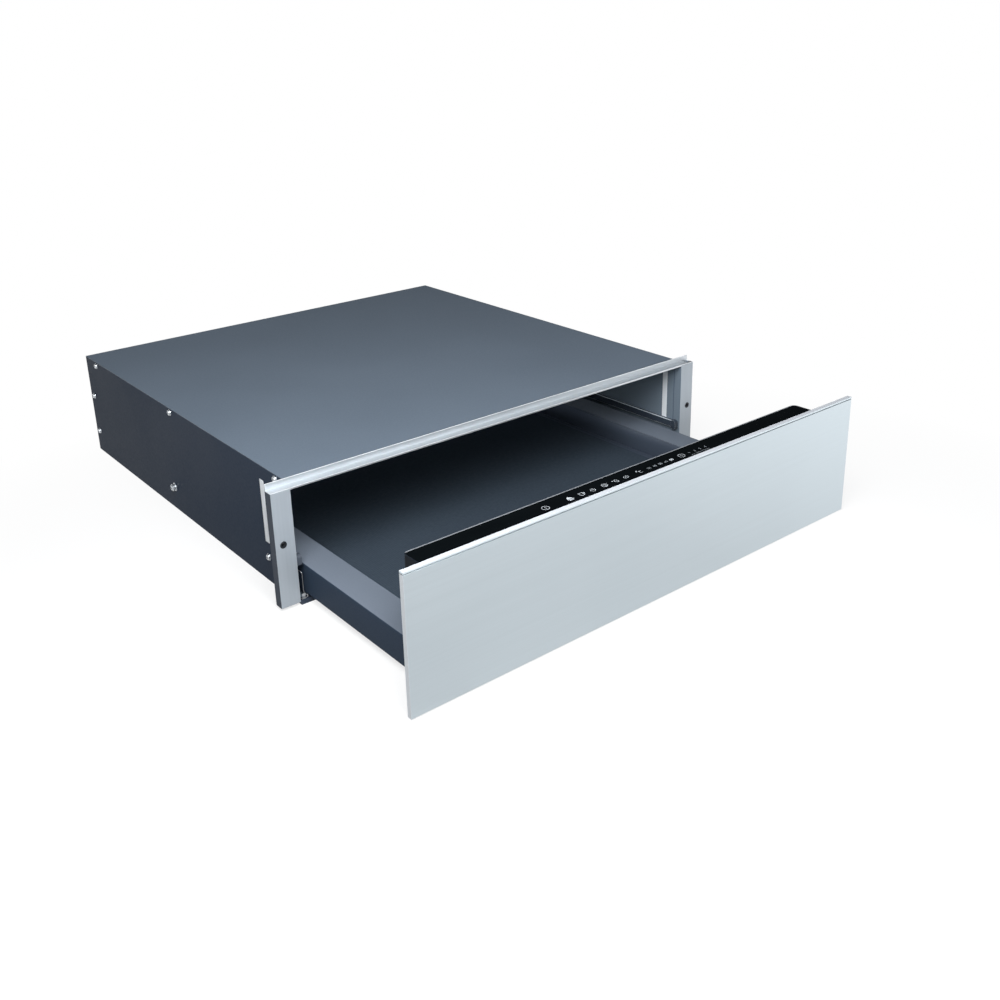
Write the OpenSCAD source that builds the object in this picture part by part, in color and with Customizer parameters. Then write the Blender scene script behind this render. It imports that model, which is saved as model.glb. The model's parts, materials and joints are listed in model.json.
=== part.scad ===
// Built in warming drawer, drawn out as at rest, with full extension slides.
// X runs to the right, Y to the rear and Z up. The origin is on the underside of the base,
// in the middle of the width, on the plane where the frame meets the cabinet's front edges.
// Drawer pieces are written as they lie when the drawer is shut, and then drawn out.

/* [Housing] */
// Outside width of the housing
housing_w = 546; // [536:1:554]
// Height from the underside of the base to the top cover
housing_h = 131; // [129:1:138]
// Depth of the housing behind the cabinet's front edges
housing_d = 536; // [526:1:545]
// Thickness of the housing's sheet steel
sheet_t = 0.8; // [0.6:0.1:1]
// Height of the base pan's side flanges
base_flange_h = 36; // [35:1:38]
// Depth of the top cover's side flanges
top_flange_h = 12; // [10:1:14]
// Depth of the rear panel's side flanges
rear_flange_d = 18; // [15:1:22]
// Free height left between two flanges that meet end to end
flange_gap = 2; // [1:0.5:4]
// Thickness of the insulation under the top cover
insulation_t = 5; // [4:0.5:5.5]
// Height of one cooling slot in the rear panel
vent_h = 3; // [2:0.5:4]
// Length of one cooling slot in the rear panel
vent_w = 60; // [40:1:80]
// Height from one cooling slot to the next
vent_pitch = 8; // [7:0.5:10]
// Number of cooling slots in one field
vent_n = 7; // [4:1:8]
// Distance of the cooling fields from the middle
vent_x = 90; // [70:1:110]

/* [Housing screws] */
// Radius of a housing screw's shank
screw_r = 1.9; // [1.5:0.1:2.1]
// Radius of a housing screw's head
screw_head_r = 3.6; // [3:0.1:4]
// Height of a housing screw's head
screw_head_h = 2.2; // [1.6:0.1:3]
// Clearance round a shank
screw_gap = 0.15; // [0.1:0.05:0.3]
// Depth of the upper screws below the top cover
screw_drop = 5.5; // [5:0.1:6.5]
// Place of the front upper screw behind the cabinet front
screw_front_y = 19; // [14:1:24]
// Distance of the rear upper screw from the rear
screw_rear_in = 36; // [30:1:44]
// Distance of the rear column of screws from the rear
column_in = 11; // [9:1:13]
// Height of the lower screws
low_screw_z = 29; // [26:1:30]
// Place of the front lower screw behind the cabinet front
low_front_y = 50; // [44:1:56]
// Radius of the lower stud's head
stud_head_r = 5; // [4:0.1:6]

/* [Front frame] */
// Width by which the frame stands past the housing on each side
frame_side = 21; // [17:0.5:23]
// Depth of the frame in front of the cabinet
frame_d = 11; // [9:0.5:13]
// Thickness of the frame's steel
frame_t = 1; // [0.8:0.1:1.2]
// Height of the frame's lower end above the base
frame_z = 3.5; // [2.5:0.5:4.5]
// Depth of the frame's top below the top cover
rail_drop = 4.5; // [3.5:0.5:5]
// Height of the top rail's upstand
upstand_h = 6.5; // [5.5:0.5:8]
// Height of the top rail's front lip
lip_h = 1; // [0.8:0.1:1.2]
// Width of the stile's rear lip that meets the cabinet
seat_w = 4.5; // [3:0.5:5]
// Depth of the stile's inner fold on the side panel
tab_d = 6; // [4:0.5:8]
// Height of the bottom rail's top above the base
sill_h = 5; // [4:0.5:5.5]
// Radius of the fixing hole in each stile
hole_r = 2.6; // [2.1:0.1:2.8]
// Distance of the fixing hole from the frame's side
hole_in = 8.5; // [8.5:0.5:10]
// Height of the fixing hole above the frame's lower end
hole_up = 67; // [60:1:75]
// Length of the open corner at the rail's right end
notch_w = 7; // [5:0.5:8]
// Depth of the open corner at the rail's right end
notch_d = 6; // [4:0.5:7]

/* [Side strips] */
// Width of the bright strip in a side panel's slot
strip_w = 8; // [6:0.5:10]
// Thickness of the bright strip
strip_t = 1.2; // [1:0.1:1.6]
// Height of the bright strip's lower end
strip_z = 46; // [44:1:50]
// Gap between the bright strip and the top cover's flange
strip_drop = 3.2; // [2:0.2:8]
// Clearance round the bright strip in its slot
strip_gap = 0.15; // [0.1:0.05:0.3]
// Place of the left strip behind the cabinet front
strip_left_y = 49; // [44:1:54]
// Place of the right strip behind the cabinet front
strip_right_y = 15; // [12:1:20]
// Thickness of a guide strip
guide_t = 4.8; // [4:0.1:5]
// Height of a guide strip
guide_h = 9; // [8:0.5:10]
// Free height between a guide strip and the rim below it
guide_gap = 2; // [1.5:0.1:3]
// Reach of a guide strip in front of the cabinet
guide_lead = 8; // [6:0.5:9]
// Radius of the guide strip's front corner
guide_r = 3; // [2:0.5:4]
// Thickness of the clip on a guide strip's end
clip_t = 0.8; // [0.6:0.1:1]
// Length of the clip on a guide strip's end
clip_l = 5; // [3:0.5:8]

/* [Drawer front] */
// Width by which the front plate stands past the frame on each side
panel_over = 3.5; // [2:0.5:5]
// Height of the front plate's lower edge above the base
panel_z = 2; // [1:0.5:3]
// Height by which the front plate stands above the touch glass
panel_rise = 15; // [12:1:20]
// Thickness of the front plate
panel_t = 5.4; // [4.5:0.1:7]
// Thickness of the front plate's outer steel
skin_t = 1; // [0.8:0.1:1.2]
// Height of the bright trim along the top edge
trim_h = 2; // [1.5:0.1:3]
// Height of the fine groove under the trim
groove_h = 0.5; // [0.3:0.1:0.8]
// Gap between the shut front plate and the frame
shut_gap = 3; // [2.5:0.1:4]

/* [Control box] */
// Depth of the control box behind the front plate
box_d = 46; // [42:1:50]
// Gap between the control box and the housing's side
box_side_gap = 8.5; // [7.5:0.5:10]
// Height of the control box's lower side above the base
box_z = 9; // [8:0.5:11]
// Thickness of the control box's walls
box_t = 1.2; // [1:0.1:1.6]
// Radius of the control box's rear corners
box_r = 6; // [4:0.5:8]
// Gap between the touch glass and the frame's top lip
glass_gap = 1.5; // [1.2:0.1:2]
// Thickness of the touch glass
glass_t = 3.2; // [3:0.1:4]
// Width of the metal bezel round the glass
bezel_w = 1.4; // [1:0.1:2]
// Height by which the bezel stands above the glass
bezel_rise = 0.3; // [0.1:0.1:0.5]
// Length of the touch board
board_w = 330; // [280:1:360]
// Depth of the touch board
board_d = 26; // [20:1:30]
// Thickness of every circuit board
board_t = 1.6; // [1.2:0.1:2]

/* [Drawer tray] */
// Gap between the drawer's side and the housing's side
rail_gap = 9; // [8.5:0.5:10]
// Width of the side rims
rim_w = 33; // [32:0.5:35]
// Height of the side rims above the base
rim_z = 41; // [40:0.5:43]
// Thickness of the side rims
rim_t = 1; // [0.8:0.1:1.2]
// Height of the skirts' lower edge above the base
skirt_z = 9; // [7:0.5:11]
// Height of the tray's floor above the base
floor_z = 14; // [13.5:0.5:15]
// Thickness of the tray's sheet
tray_t = 0.8; // [0.6:0.1:1]
// Thickness of the anti slip mat
mat_t = 2; // [1.5:0.1:3]
// Margin between the mat and the tray's walls
mat_margin = 11; // [8:0.5:14]
// Radius of the mat's corners
mat_r = 8; // [4:0.5:12]
// Gap between the shut drawer and the baffle
back_gap = 8; // [7:0.5:10]
// Travel from shut to the place where the drawer rests
open_at_rest = 217; // [200:1:230]
// Radius of the screws between the box and the tray
tray_screw_r = 1.7; // [1.4:0.1:2]
// Radius of those screws' heads
tray_screw_head_r = 3.2; // [2.8:0.1:3.6]
// Height of those screws above the tray's floor
tray_screw_up = 14; // [12:0.5:16]

/* [Slides] */
// Height of a slide's outer member
slide_h = 27; // [26:0.5:28]
// Width of a whole slide
slide_w = 12.7; // [12.5:0.1:13]
// Height of a slide's middle above the base
slide_z = 23; // [22.5:0.5:24]
// Gap between the control box and the fixed slide member
slide_lead = 3; // [2:0.5:6]
// Gap between the fixed slide member and the baffle
slide_end_gap = 23; // [20:1:26]
// Thickness of the slide members
slide_t = 1.2; // [1:0.1:1.3]
// Radius of the slide's balls
ball_r = 1.3; // [1.2:0.05:1.4]
// Clearance between a ball and its race
race_gap = 0.1; // [0.1:0.05:0.15]
// Thickness of the ball cages
cage_t = 0.6; // [0.5:0.05:0.65]
// Clearance between a ball cage and the members beside it
cage_gap = 0.3; // [0.25:0.05:0.35]
// Clearance of a ball in its cage
pocket_gap = 0.1; // [0.05:0.05:0.15]
// Number of balls in one row
balls_n = 5; // [3:1:6]
// Distance from ball to ball
ball_pitch = 30; // [20:1:34]
// Depth of the slide members' flanges
slide_flange = 9; // [8:0.1:9.2]
// Thickness of the slide brackets
bracket_t = 1.5; // [1:0.1:1.8]
// Width of the slide brackets' foot
bracket_foot = 14; // [10:0.5:15]

/* [Fan bay] */
// Depth of the bay behind the fan chamber
motor_bay_d = 31; // [30.5:0.5:34]
// Depth of the fan chamber
chamber_d = 27; // [26:0.5:30]
// Gap between the fan wheel and the heater
fan_gap = 8.75; // [6:0.25:12]
// Depth of the fan's blades along the radius
blade_l = 14; // [10:0.5:16]
// Depth of the fan's blades
blade_d = 13; // [10:0.5:14]
// Number of fan blades
blades_n = 20; // [12:1:24]
// Thickness of the fan's sheet
blade_t = 0.8; // [0.6:0.1:1]
// Angle of a blade to the radius
blade_tilt = 35; // [20:1:45]
// Radius of the fan's hub
hub_r = 7; // [6:0.5:9]
// Radius of the motor's shaft
shaft_r = 2.5; // [2:0.1:3]
// Clearance of the shaft in its bearings
bearing_gap = 0.05; // [0.03:0.01:0.08]
// Gap between the fan's rear disc and the chamber plate
disc_gap = 7; // [6:0.5:8]
// Gap between the heater and the housing above and below it
heater_room = 8.55; // [6:0.05:12]
// Radius of the heater's tube
heater_tube_r = 3.25; // [3:0.05:3.5]
// Half the opening angle of the heater's ring
heater_open = 15; // [13:1:18]
// Wall of the sleeve on each end of the heater
heater_sleeve = 0.8; // [0.5:0.1:1]
// Length of the heater's ends behind the chamber plate
heater_tail = 12; // [8:0.5:16]
// Gap between the heater's ring and the chamber plate
heater_gap = 9; // [8:0.5:11]
// Height of one slot in the air baffle
grille_h = 4; // [3:0.5:5]
// Height from one baffle slot to the next
grille_pitch = 9; // [8:0.5:10]
// Number of baffle slots in one field
grille_n = 7; // [5:1:8]
// Half length of the middle field's slots
grille_half = 26; // [20:1:30]
// Inner end of the side fields' slots
outlet_x = 120; // [100:1:130]
// Length of the side fields' slots
outlet_w = 90; // [70:1:100]

/* [Motor] */
// Half width of the motor's stack
stack_half = 28; // [26:0.5:30]
// Thickness of the motor's stack
stack_d = 12; // [10:0.5:14]
// Height of the stack's block above and below the shaft
stack_rise = 20; // [18:0.5:22]
// Gap between the winding and the wiring below it
coil_foot_gap = 5.4; // [4:0.2:7]
// Height of the stack's lower bar
bar_h = 10; // [9:0.5:10.5]
// Half width of the stack's coil window
window_half = 16; // [15:0.5:18]
// Radius of the rotor
rotor_r = 12; // [11:0.5:13]
// Air gap round the rotor
air_gap = 0.5; // [0.4:0.05:0.8]
// Wall of the winding round the lower bar
coil_wall = 5; // [4:0.25:5.5]
// Clearance between the winding and the stack's window
coil_gap = 0.3; // [0.2:0.05:0.5]
// Gap between the motor's front bracket and its stack
stack_gap = 5; // [4.8:0.1:5.5]
// Radius of a bearing boss
boss_r = 5.5; // [5:0.1:6]
// Length of a bearing boss
boss_l = 3; // [2:0.1:3.5]
// Half height of a bearing bracket
strap_half = 7; // [6:0.5:8]
// Distance of the motor's screws from the shaft
motor_screw_x = 23; // [21:0.5:24]
// Radius of the motor's screws
motor_screw_r = 1.5; // [1.3:0.05:1.7]

/* [Electrics] */
// Radius of the thermal cut-out
cutout_r = 8; // [6:0.5:9]
// Thickness of the thermal cut-out
cutout_h = 7; // [5:0.5:9]
// Distance of the thermal cut-out from the middle
cutout_x = 70; // [60:1:78]
// Length of the temperature probe
probe_l = 14; // [10:0.5:16]
// Radius of the temperature probe
probe_r = 2.5; // [2:0.1:3]
// Distance of the temperature probe from the middle
probe_x = 90; // [80:1:100]
// Height of the temperature probe
probe_z = 96; // [90:1:104]
// Length of the power board
power_w = 110; // [90:1:120]
// Height of the power board
power_h = 62; // [50:1:70]
// Space between the thermal cut-out and the power board
power_gap = 22; // [10:1:30]
// Height of the power board's lower edge
power_z = 34; // [30:1:40]
// Length of a board post
post_l = 5; // [4:0.5:6]
// Radius of a board post
post_r = 2.5; // [2:0.1:3]
// Width of the terminal block
block_w = 44; // [36:1:50]
// Height of the terminal block
block_h = 20; // [16:0.5:24]
// Depth of the terminal block
block_d = 20; // [16:0.5:22]
// Distance of the terminal block and the gland from the housing's left side
inlet_in = 103; // [70:1:120]
// Height of the cable gland
gland_z = 44; // [40:1:60]
// Radius of the bore of the cable gland
gland_bore_r = 4.5; // [3.5:0.1:5]
// Radius of the gland's thread
gland_r = 8; // [7:0.1:9]
// Radius of the gland's collar and nut
gland_collar_r = 11; // [10:0.1:13]
// Length of the gland's collar behind the rear panel
gland_out = 6; // [4:0.5:9]
// Thickness of the gland's nut
gland_nut = 4; // [3:0.5:6]
// Radius of the wiring bundle
loom_r = 2.2; // [1.8:0.1:2.6]

/* [Latch and switch] */
// Half width of the latch's case
latch_half = 20; // [16:0.5:24]
// Length of the latch's case
latch_l = 62; // [58:1:66]
// Height of the latch's case
latch_h = 11; // [10.6:0.1:11.4]
// Distance of the latch's rear end from the baffle
latch_back = 12; // [8:0.5:16]
// Half width of the plunger
plunger_half = 7.7; // [6:0.1:9]
// Height of the plunger's lower side above the base
plunger_z = 4.3; // [4:0.1:4.6]
// Height of the plunger
plunger_h = 5.6; // [5:0.1:5.8]
// Length of the plunger inside the case
plunger_in = 36; // [30:0.5:38]
// Reach of the plunger in front of the case
plunger_out = 8; // [7:0.5:9]
// Clearance round the plunger
plunger_gap = 0.3; // [0.25:0.05:0.4]
// Travel of the plunger
plunger_travel = 5; // [3:0.5:5.5]
// Radius of the latch's spring
spring_r = 2.4; // [2:0.1:2.5]
// Bore radius of the latch's spring
spring_bore_r = 1.6; // [1.2:0.1:1.8]
// Gap between the shut drawer's striker and the plunger
striker_gap = 0.4; // [0.3:0.05:0.6]
// Thickness of the striker
striker_t = 2; // [1.5:0.1:2.5]
// Half width of the striker
striker_half = 9; // [7:0.5:11]
// Length of the striker's foot
striker_foot = 14; // [10:0.5:18]
// Height of the striker's lower end above the base
striker_z = 6.3; // [6:0.1:6.8]
// Distance of the reed switch from the middle
reed_x = 60; // [50:1:70]
// Length of the reed switch
reed_l = 24; // [18:0.5:28]
// Thickness of the reed switch
reed_t = 4; // [3:0.1:4.2]
// Thickness of the magnet
magnet_t = 2.5; // [2:0.1:2.6]
// Height of the switch and the magnet above the tray's floor
reed_up = 10; // [8:0.5:12]
// Height of the switch and of the magnet
reed_h = 8; // [6:0.5:9]

/* [Hidden] */
$fn = 48;
over = 1;
housing_blue = [0.24, 0.27, 0.31];
steel = [0.72, 0.74, 0.76];
bright = [0.82, 0.84, 0.86];
dark = [0.12, 0.13, 0.15];
// Shares of the housing's sizes at which some screws lie
mid_screw_share = 0.5;
column_screw_share = 0.6;
stud_share = 0.525;
vent_low_share = 0.3;
// Share of the slide's width at which its balls run
ball_depth_share = 0.6;
// Shares of the pieces on which screws, components and poles are spread
tray_screw_shares = [-0.8, -0.3, 0.3, 0.8];
component_shares = [0.15, 0.4, 0.7];
pole_shares = [-0.3, 0, 0.3];
// Housing
half_w = housing_w / 2;
side_in = half_w - sheet_t;
flange_in = side_in - sheet_t;
rear_in = housing_d - sheet_t;
top_under = housing_h - sheet_t;
liner_top = top_under - insulation_t;
liner_z = liner_top - sheet_t;
chamber_y = housing_d - motor_bay_d;
chamber_back = chamber_y + sheet_t;
baffle_y = chamber_y - chamber_d;
baffle_back = baffle_y + sheet_t;
vent_z = housing_h * vent_low_share;
upper_z = housing_h - screw_drop;
column_y = housing_d - column_in;
screw_places = [
  [screw_front_y, upper_z],
  [housing_d * mid_screw_share, upper_z],
  [housing_d - screw_rear_in, upper_z],
  [column_y, housing_h * column_screw_share],
  [column_y, low_screw_z],
  [low_front_y, low_screw_z]
];
stud_y = housing_d * stud_share;
strip_top = top_under - top_flange_h - strip_drop;
// Front frame
frame_half = half_w + frame_side;
frame_top = housing_h - rail_drop;
rail_z = frame_top - frame_t;
hole_x = frame_half - hole_in;
hole_z = frame_z + hole_up;
// Drawer front and control box, shut
panel_half = frame_half + panel_over;
panel_back = -frame_d - shut_gap;
panel_front = panel_back - panel_t;
glass_top = rail_z - lip_h - glass_gap;
panel_top = glass_top + panel_rise;
box_half = half_w - box_side_gap;
box_back = panel_back + box_d;
box_top = glass_top - glass_t;
trim_z = panel_top - trim_h;
// Drawer tray, shut
rim_half = half_w - rail_gap;
tray_half = rim_half - rim_w;
tray_back = baffle_y - back_gap;
rim_under = rim_z - rim_t;
floor_under = floor_z - tray_t;
leg_x = tray_half + tray_t;
leg_out = leg_x + rim_t;
mat_half = tray_half - mat_margin;
guide_z = rim_z + guide_gap;
guide_y = -guide_lead;
guide_back = tray_back;
guide_x = side_in - guide_t;
// Slides, shut
slide_y = box_back + slide_lead;
slide_len = baffle_y - slide_y - slide_end_gap;
slide_x = leg_out + slide_w;
outer_half = slide_h / 2;
ball_step = slide_t + 2 * (ball_r + race_gap);
middle_half = outer_half - ball_step;
inner_half = middle_half - ball_step;
outer_ball_z = outer_half - slide_t - race_gap - ball_r;
inner_ball_z = middle_half - slide_t - race_gap - ball_r;
middle_web = 2 * slide_t;
outer_cage_web = slide_t + cage_gap;
inner_cage_web = middle_web + slide_t + cage_gap;
ball_u = slide_w * ball_depth_share;
cage_flange = slide_flange - cage_t;
cage_len = ball_pitch * balls_n;
inner_start = box_back + rim_t;
inner_len = slide_len;
middle_travel_share = 0.5;
outer_cage_travel_share = 0.25;
inner_cage_travel_share = 0.75;
outer_cage_y = slide_y + slide_len / 2;
inner_cage_y = (inner_start + slide_y + slide_len) / 2;
// Fan bay
fan_z = (sheet_t + liner_z) / 2;
heater_r = (liner_z - sheet_t) / 2 - heater_room - heater_tube_r;
fan_r = heater_r - heater_tube_r - fan_gap;
disc_back = chamber_y - disc_gap;
disc_front = disc_back - blade_t;
blade_front = disc_front - blade_d;
heater_y = chamber_y - heater_gap - heater_tube_r;
heater_end_r = heater_tube_r + heater_sleeve;
// Motor
stack_y = chamber_back + stack_gap;
stack_back = stack_y + stack_d;
strap_back = stack_back + stack_gap + bracket_t;
bar_z = sheet_t + 2 * loom_r + coil_foot_gap + coil_wall;
bar_top = bar_z + bar_h;
// Electrics
power_x = cutout_x + cutout_r + power_gap;
inlet_x = half_w - inlet_in;
// Latch and switch
latch_y = baffle_y - latch_back - latch_l;
plunger_y = latch_y - plunger_out;
plunger_back = latch_y + plunger_in;
latch_wall_y = latch_y + latch_l - box_t;
spring_back = latch_wall_y - plunger_travel - plunger_gap;
spring_z = plunger_z + plunger_h / 2;
striker_y = plunger_y - striker_gap;
reed_z = floor_z + reed_up;

// Block between two corners
module slab(low, high) {
  translate(low) cube(high - low);
}

// Round bars along each axis
module rod_x(y, z, x0, x1, r) {
  translate([x0, y, z]) rotate([0, 90, 0]) cylinder(h = x1 - x0, r = r);
}
module rod_y(x, z, y0, y1, r) {
  translate([x, y0, z]) rotate([-90, 0, 0]) cylinder(h = y1 - y0, r = r);
}
module rod_z(x, y, z0, z1, r) {
  translate([x, y, z0]) cylinder(h = z1 - z0, r = r);
}

// What is written for the right side, on the left or on both
module left() {
  mirror([1, 0, 0]) children();
}
module both() {
  children();
  left() children();
}

// What moves with the drawer by a share of its travel, from shut to rest
module drawn(share = 1) {
  translate([0, -open_at_rest * share, 0]) children();
}

// Housing
module screw_bores() {
  for (p = screw_places) {
    rod_x(p[0], p[1], flange_in - over, half_w + over, screw_r + screw_gap);
  }
  rod_x(stud_y, low_screw_z, flange_in - over, half_w + over, screw_r + screw_gap);
}

module top_cover() {
  color(housing_blue) difference() {
    union() {
      slab([-half_w, 0, top_under], [half_w, housing_d, housing_h]);
      both() slab([flange_in, 0, top_under - top_flange_h], [side_in, rear_in, housing_h - sheet_t]);
    }
    both() screw_bores();
  }
}

module side_panel(strip_y) {
  reach = strip_w / 2 + strip_gap;
  color(housing_blue) difference() {
    slab([side_in, 0, 0], [half_w, housing_d, top_under]);
    slab(
      [side_in - over, strip_y - reach, strip_z - strip_gap],
      [half_w + over, strip_y + reach, strip_top + strip_gap]
    );
    screw_bores();
  }
}

module base_pan() {
  color(housing_blue) difference() {
    union() {
      slab([-side_in, -frame_d, 0], [side_in, rear_in, sheet_t]);
      both() slab([flange_in, 0, 0], [side_in, rear_in, base_flange_h]);
    }
    both() screw_bores();
  }
}

module rear_panel() {
  color(housing_blue) difference() {
    union() {
      slab([-side_in, rear_in, sheet_t], [side_in, housing_d, top_under]);
      both() slab(
        [flange_in, rear_in - rear_flange_d, base_flange_h + flange_gap],
        [side_in, housing_d, top_under - top_flange_h - flange_gap]
      );
    }
    both() screw_bores();
    rod_y(-inlet_x, gland_z, rear_in - over, housing_d + over, gland_r);
    both() for (i = [0 : vent_n - 1]) {
      z = vent_z + i * vent_pitch;
      slab([vent_x - vent_w / 2, rear_in - over, z], [vent_x + vent_w / 2, housing_d + over, z + vent_h]);
    }
  }
}

module insulation() {
  color([0.85, 0.82, 0.7]) slab([-flange_in, 0, liner_top], [flange_in, chamber_y, top_under]);
}

module ceiling_liner() {
  color(dark) slab([-flange_in, 0, liner_z], [flange_in, chamber_y, liner_top]);
}

module pan_screw(y, z, head_r) {
  rod_x(y, z, flange_in, half_w + sheet_t, screw_r);
  translate([half_w, y, z]) rotate([0, 90, 0]) difference() {
    cylinder(h = screw_head_h, r1 = head_r, r2 = head_r - screw_head_h / 2);
    translate([0, 0, screw_head_h / 2]) for (turn = [0, 90]) rotate([0, 0, turn]) {
      slab([-screw_r, -sheet_t / 2, 0], [screw_r, sheet_t / 2, screw_head_h]);
    }
  }
}

module housing_screws() {
  color(bright) both() {
    for (p = screw_places) pan_screw(p[0], p[1], screw_head_r);
    pan_screw(stud_y, low_screw_z, stud_head_r);
  }
}

// Front frame
module frame_stile() {
  color(steel) difference() {
    union() {
      slab([half_w, -frame_d, frame_z], [frame_half, frame_t - frame_d, rail_z]);
      slab([frame_half - frame_t, -frame_d, frame_z], [frame_half, 0, rail_z]);
      slab([frame_half - seat_w, -frame_t, frame_z], [frame_half, 0, rail_z]);
      slab([half_w, -frame_d, frame_z], [half_w + frame_t, tab_d, rail_z]);
    }
    rod_y(hole_x, hole_z, -frame_d - over, frame_t - frame_d + over, hole_r);
  }
}

module top_rail() {
  notch_x = frame_half - frame_t - notch_w;
  color(steel) difference() {
    union() {
      slab([-frame_half, -frame_d, rail_z], [frame_half, 0, frame_top]);
      slab([-frame_half, -frame_t, rail_z], [frame_half, 0, frame_top + upstand_h]);
      slab([-half_w, -frame_d, rail_z - lip_h], [half_w, frame_t - frame_d, frame_top]);
    }
    slab([notch_x, -frame_t - notch_d, rail_z - over], [notch_x + notch_w, -frame_t, frame_top + over]);
  }
}

module bottom_rail() {
  color(housing_blue) {
    slab([-half_w, -frame_d, sheet_t], [half_w, 0, sheet_t + frame_t]);
    slab([-half_w, -frame_d, sheet_t], [half_w, frame_t - frame_d, sill_h]);
  }
}

// Side strips
module slot_strip(y) {
  slab([side_in, y - strip_w / 2, strip_z], [side_in + strip_t, y + strip_w / 2, strip_top]);
}

module slot_strips() {
  color(bright) {
    slot_strip(strip_right_y);
    left() slot_strip(strip_left_y);
  }
}

module guide_shape(grow, back) {
  low = [guide_x - grow, guide_y - grow, guide_z - grow];
  top = guide_z + guide_h + grow;
  bend = guide_r + grow;
  slab([low[0], low[1] + bend, low[2]], [side_in, back, top]);
  slab(low, [side_in, low[1] + bend, top - bend]);
  rod_x(low[1] + bend, top - bend, low[0], side_in, bend);
}

module guide_strips() {
  color(dark) both() guide_shape(0, guide_back);
}

module guide_clips() {
  color(bright) both() difference() {
    guide_shape(clip_t, guide_y + clip_l);
    guide_shape(0, guide_back);
  }
}

// Slides, written at their right hand place
module slide_span(u0, u1, w0, w1, y0, y1) {
  slab([slide_x - u1, y0, slide_z + w0], [slide_x - u0, y1, slide_z + w1]);
}

module slide_flanges(u0, u1, half, t, y0, y1) {
  slide_span(u0, u1, half - t, half, y0, y1);
  slide_span(u0, u1, -half, t - half, y0, y1);
}

module slide_bracket() {
  color(bright) {
    slab([slide_x, slide_y, sheet_t], [slide_x + bracket_t, slide_y + slide_len, slide_z + outer_half]);
    slab([slide_x, slide_y, sheet_t], [slide_x + bracket_foot, slide_y + slide_len, sheet_t + bracket_t]);
  }
}

module slide_outer() {
  y1 = slide_y + slide_len;
  color(bright) {
    slide_span(0, slide_t, -outer_half, outer_half, slide_y, y1);
    slide_flanges(0, slide_flange + slide_t, outer_half, slide_t, slide_y, y1);
  }
}

module slide_middle() {
  y1 = slide_y + slide_len;
  color(bright) drawn(middle_travel_share) {
    slide_span(middle_web, middle_web + slide_t, -middle_half, middle_half, slide_y, y1);
    slide_flanges(middle_web, slide_flange + slide_t, middle_half, slide_t, slide_y, y1);
  }
}

module slide_inner() {
  y1 = inner_start + inner_len;
  tip = inner_cage_web + cage_t + cage_gap;
  color(bright) drawn() {
    slide_span(slide_w - slide_t, slide_w, -inner_half, inner_half, inner_start, y1);
    slide_flanges(tip, slide_w, inner_half, slide_t, inner_start, y1);
  }
}

module ball_cage(web, ball_z, y) {
  y0 = y - cage_len / 2;
  y1 = y + cage_len / 2;
  half = ball_z + cage_t / 2;
  balls = [for (i = [0 : balls_n - 1]) y0 + ball_pitch * (i + 1 / 2)];
  difference() {
    union() {
      slide_span(web, web + cage_t, -half, half, y0, y1);
      slide_flanges(web, cage_flange + cage_t, half, cage_t, y0, y1);
    }
    for (b = balls) {
      rod_z(slide_x - ball_u, b, slide_z - half - over, slide_z + half + over, ball_r + pocket_gap);
    }
  }
  for (b = balls) {
    for (z = [slide_z - ball_z, slide_z + ball_z]) {
      translate([slide_x - ball_u, b, z]) sphere(r = ball_r);
    }
  }
}

module outer_cage() {
  color(steel) drawn(outer_cage_travel_share) ball_cage(outer_cage_web, outer_ball_z, outer_cage_y);
}

module inner_cage() {
  color(steel) drawn(inner_cage_travel_share) ball_cage(inner_cage_web, inner_ball_z, inner_cage_y);
}

// Fan bay
module slot_field(x0, x1) {
  low = fan_z - (grille_n - 1) / 2 * grille_pitch;
  for (i = [0 : grille_n - 1]) {
    z = low + i * grille_pitch;
    slab([x0, baffle_y - over, z - grille_h / 2], [x1, baffle_back + over, z + grille_h / 2]);
  }
}

module air_baffle() {
  color(dark) difference() {
    slab([-flange_in, baffle_y, sheet_t], [flange_in, baffle_back, liner_z]);
    slot_field(-grille_half, grille_half);
    both() slot_field(outlet_x, outlet_x + outlet_w);
    rod_y(-probe_x, probe_z, baffle_y - over, baffle_back + over, probe_r);
  }
}

// The two ends of the heater's ring, on its left
module heater_ends() {
  for (side = [-1, 1]) {
    translate([-heater_r * cos(heater_open), 0, fan_z + side * heater_r * sin(heater_open)]) children();
  }
}

module chamber_plate() {
  color(steel) difference() {
    slab([-flange_in, chamber_y, sheet_t], [flange_in, chamber_back, top_under]);
    rod_y(0, fan_z, chamber_y - over, chamber_back + over, boss_r);
    heater_ends() rod_y(0, 0, chamber_y - over, chamber_back + over, heater_end_r + screw_gap);
    both() rod_y(motor_screw_x, fan_z, chamber_y - over, chamber_back + over, motor_screw_r);
  }
}

module heater_ring() {
  end_x = -heater_r * cos(heater_open);
  reach = 2 * heater_tube_r;
  half = heater_r * sin(heater_open) + reach;
  color([0.35, 0.33, 0.31]) {
    translate([0, heater_y, fan_z]) rotate([-90, 0, 0]) rotate([0, 0, 180 + heater_open]) {
      rotate_extrude(angle = 360 - 2 * heater_open) translate([heater_r, 0]) circle(r = heater_tube_r);
    }
    heater_ends() rod_y(0, 0, heater_y - heater_end_r, chamber_back + heater_tail, heater_end_r);
    slab([end_x - reach, chamber_y - bracket_t, fan_z - half], [end_x + reach, chamber_y, fan_z + half]);
  }
}

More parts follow.
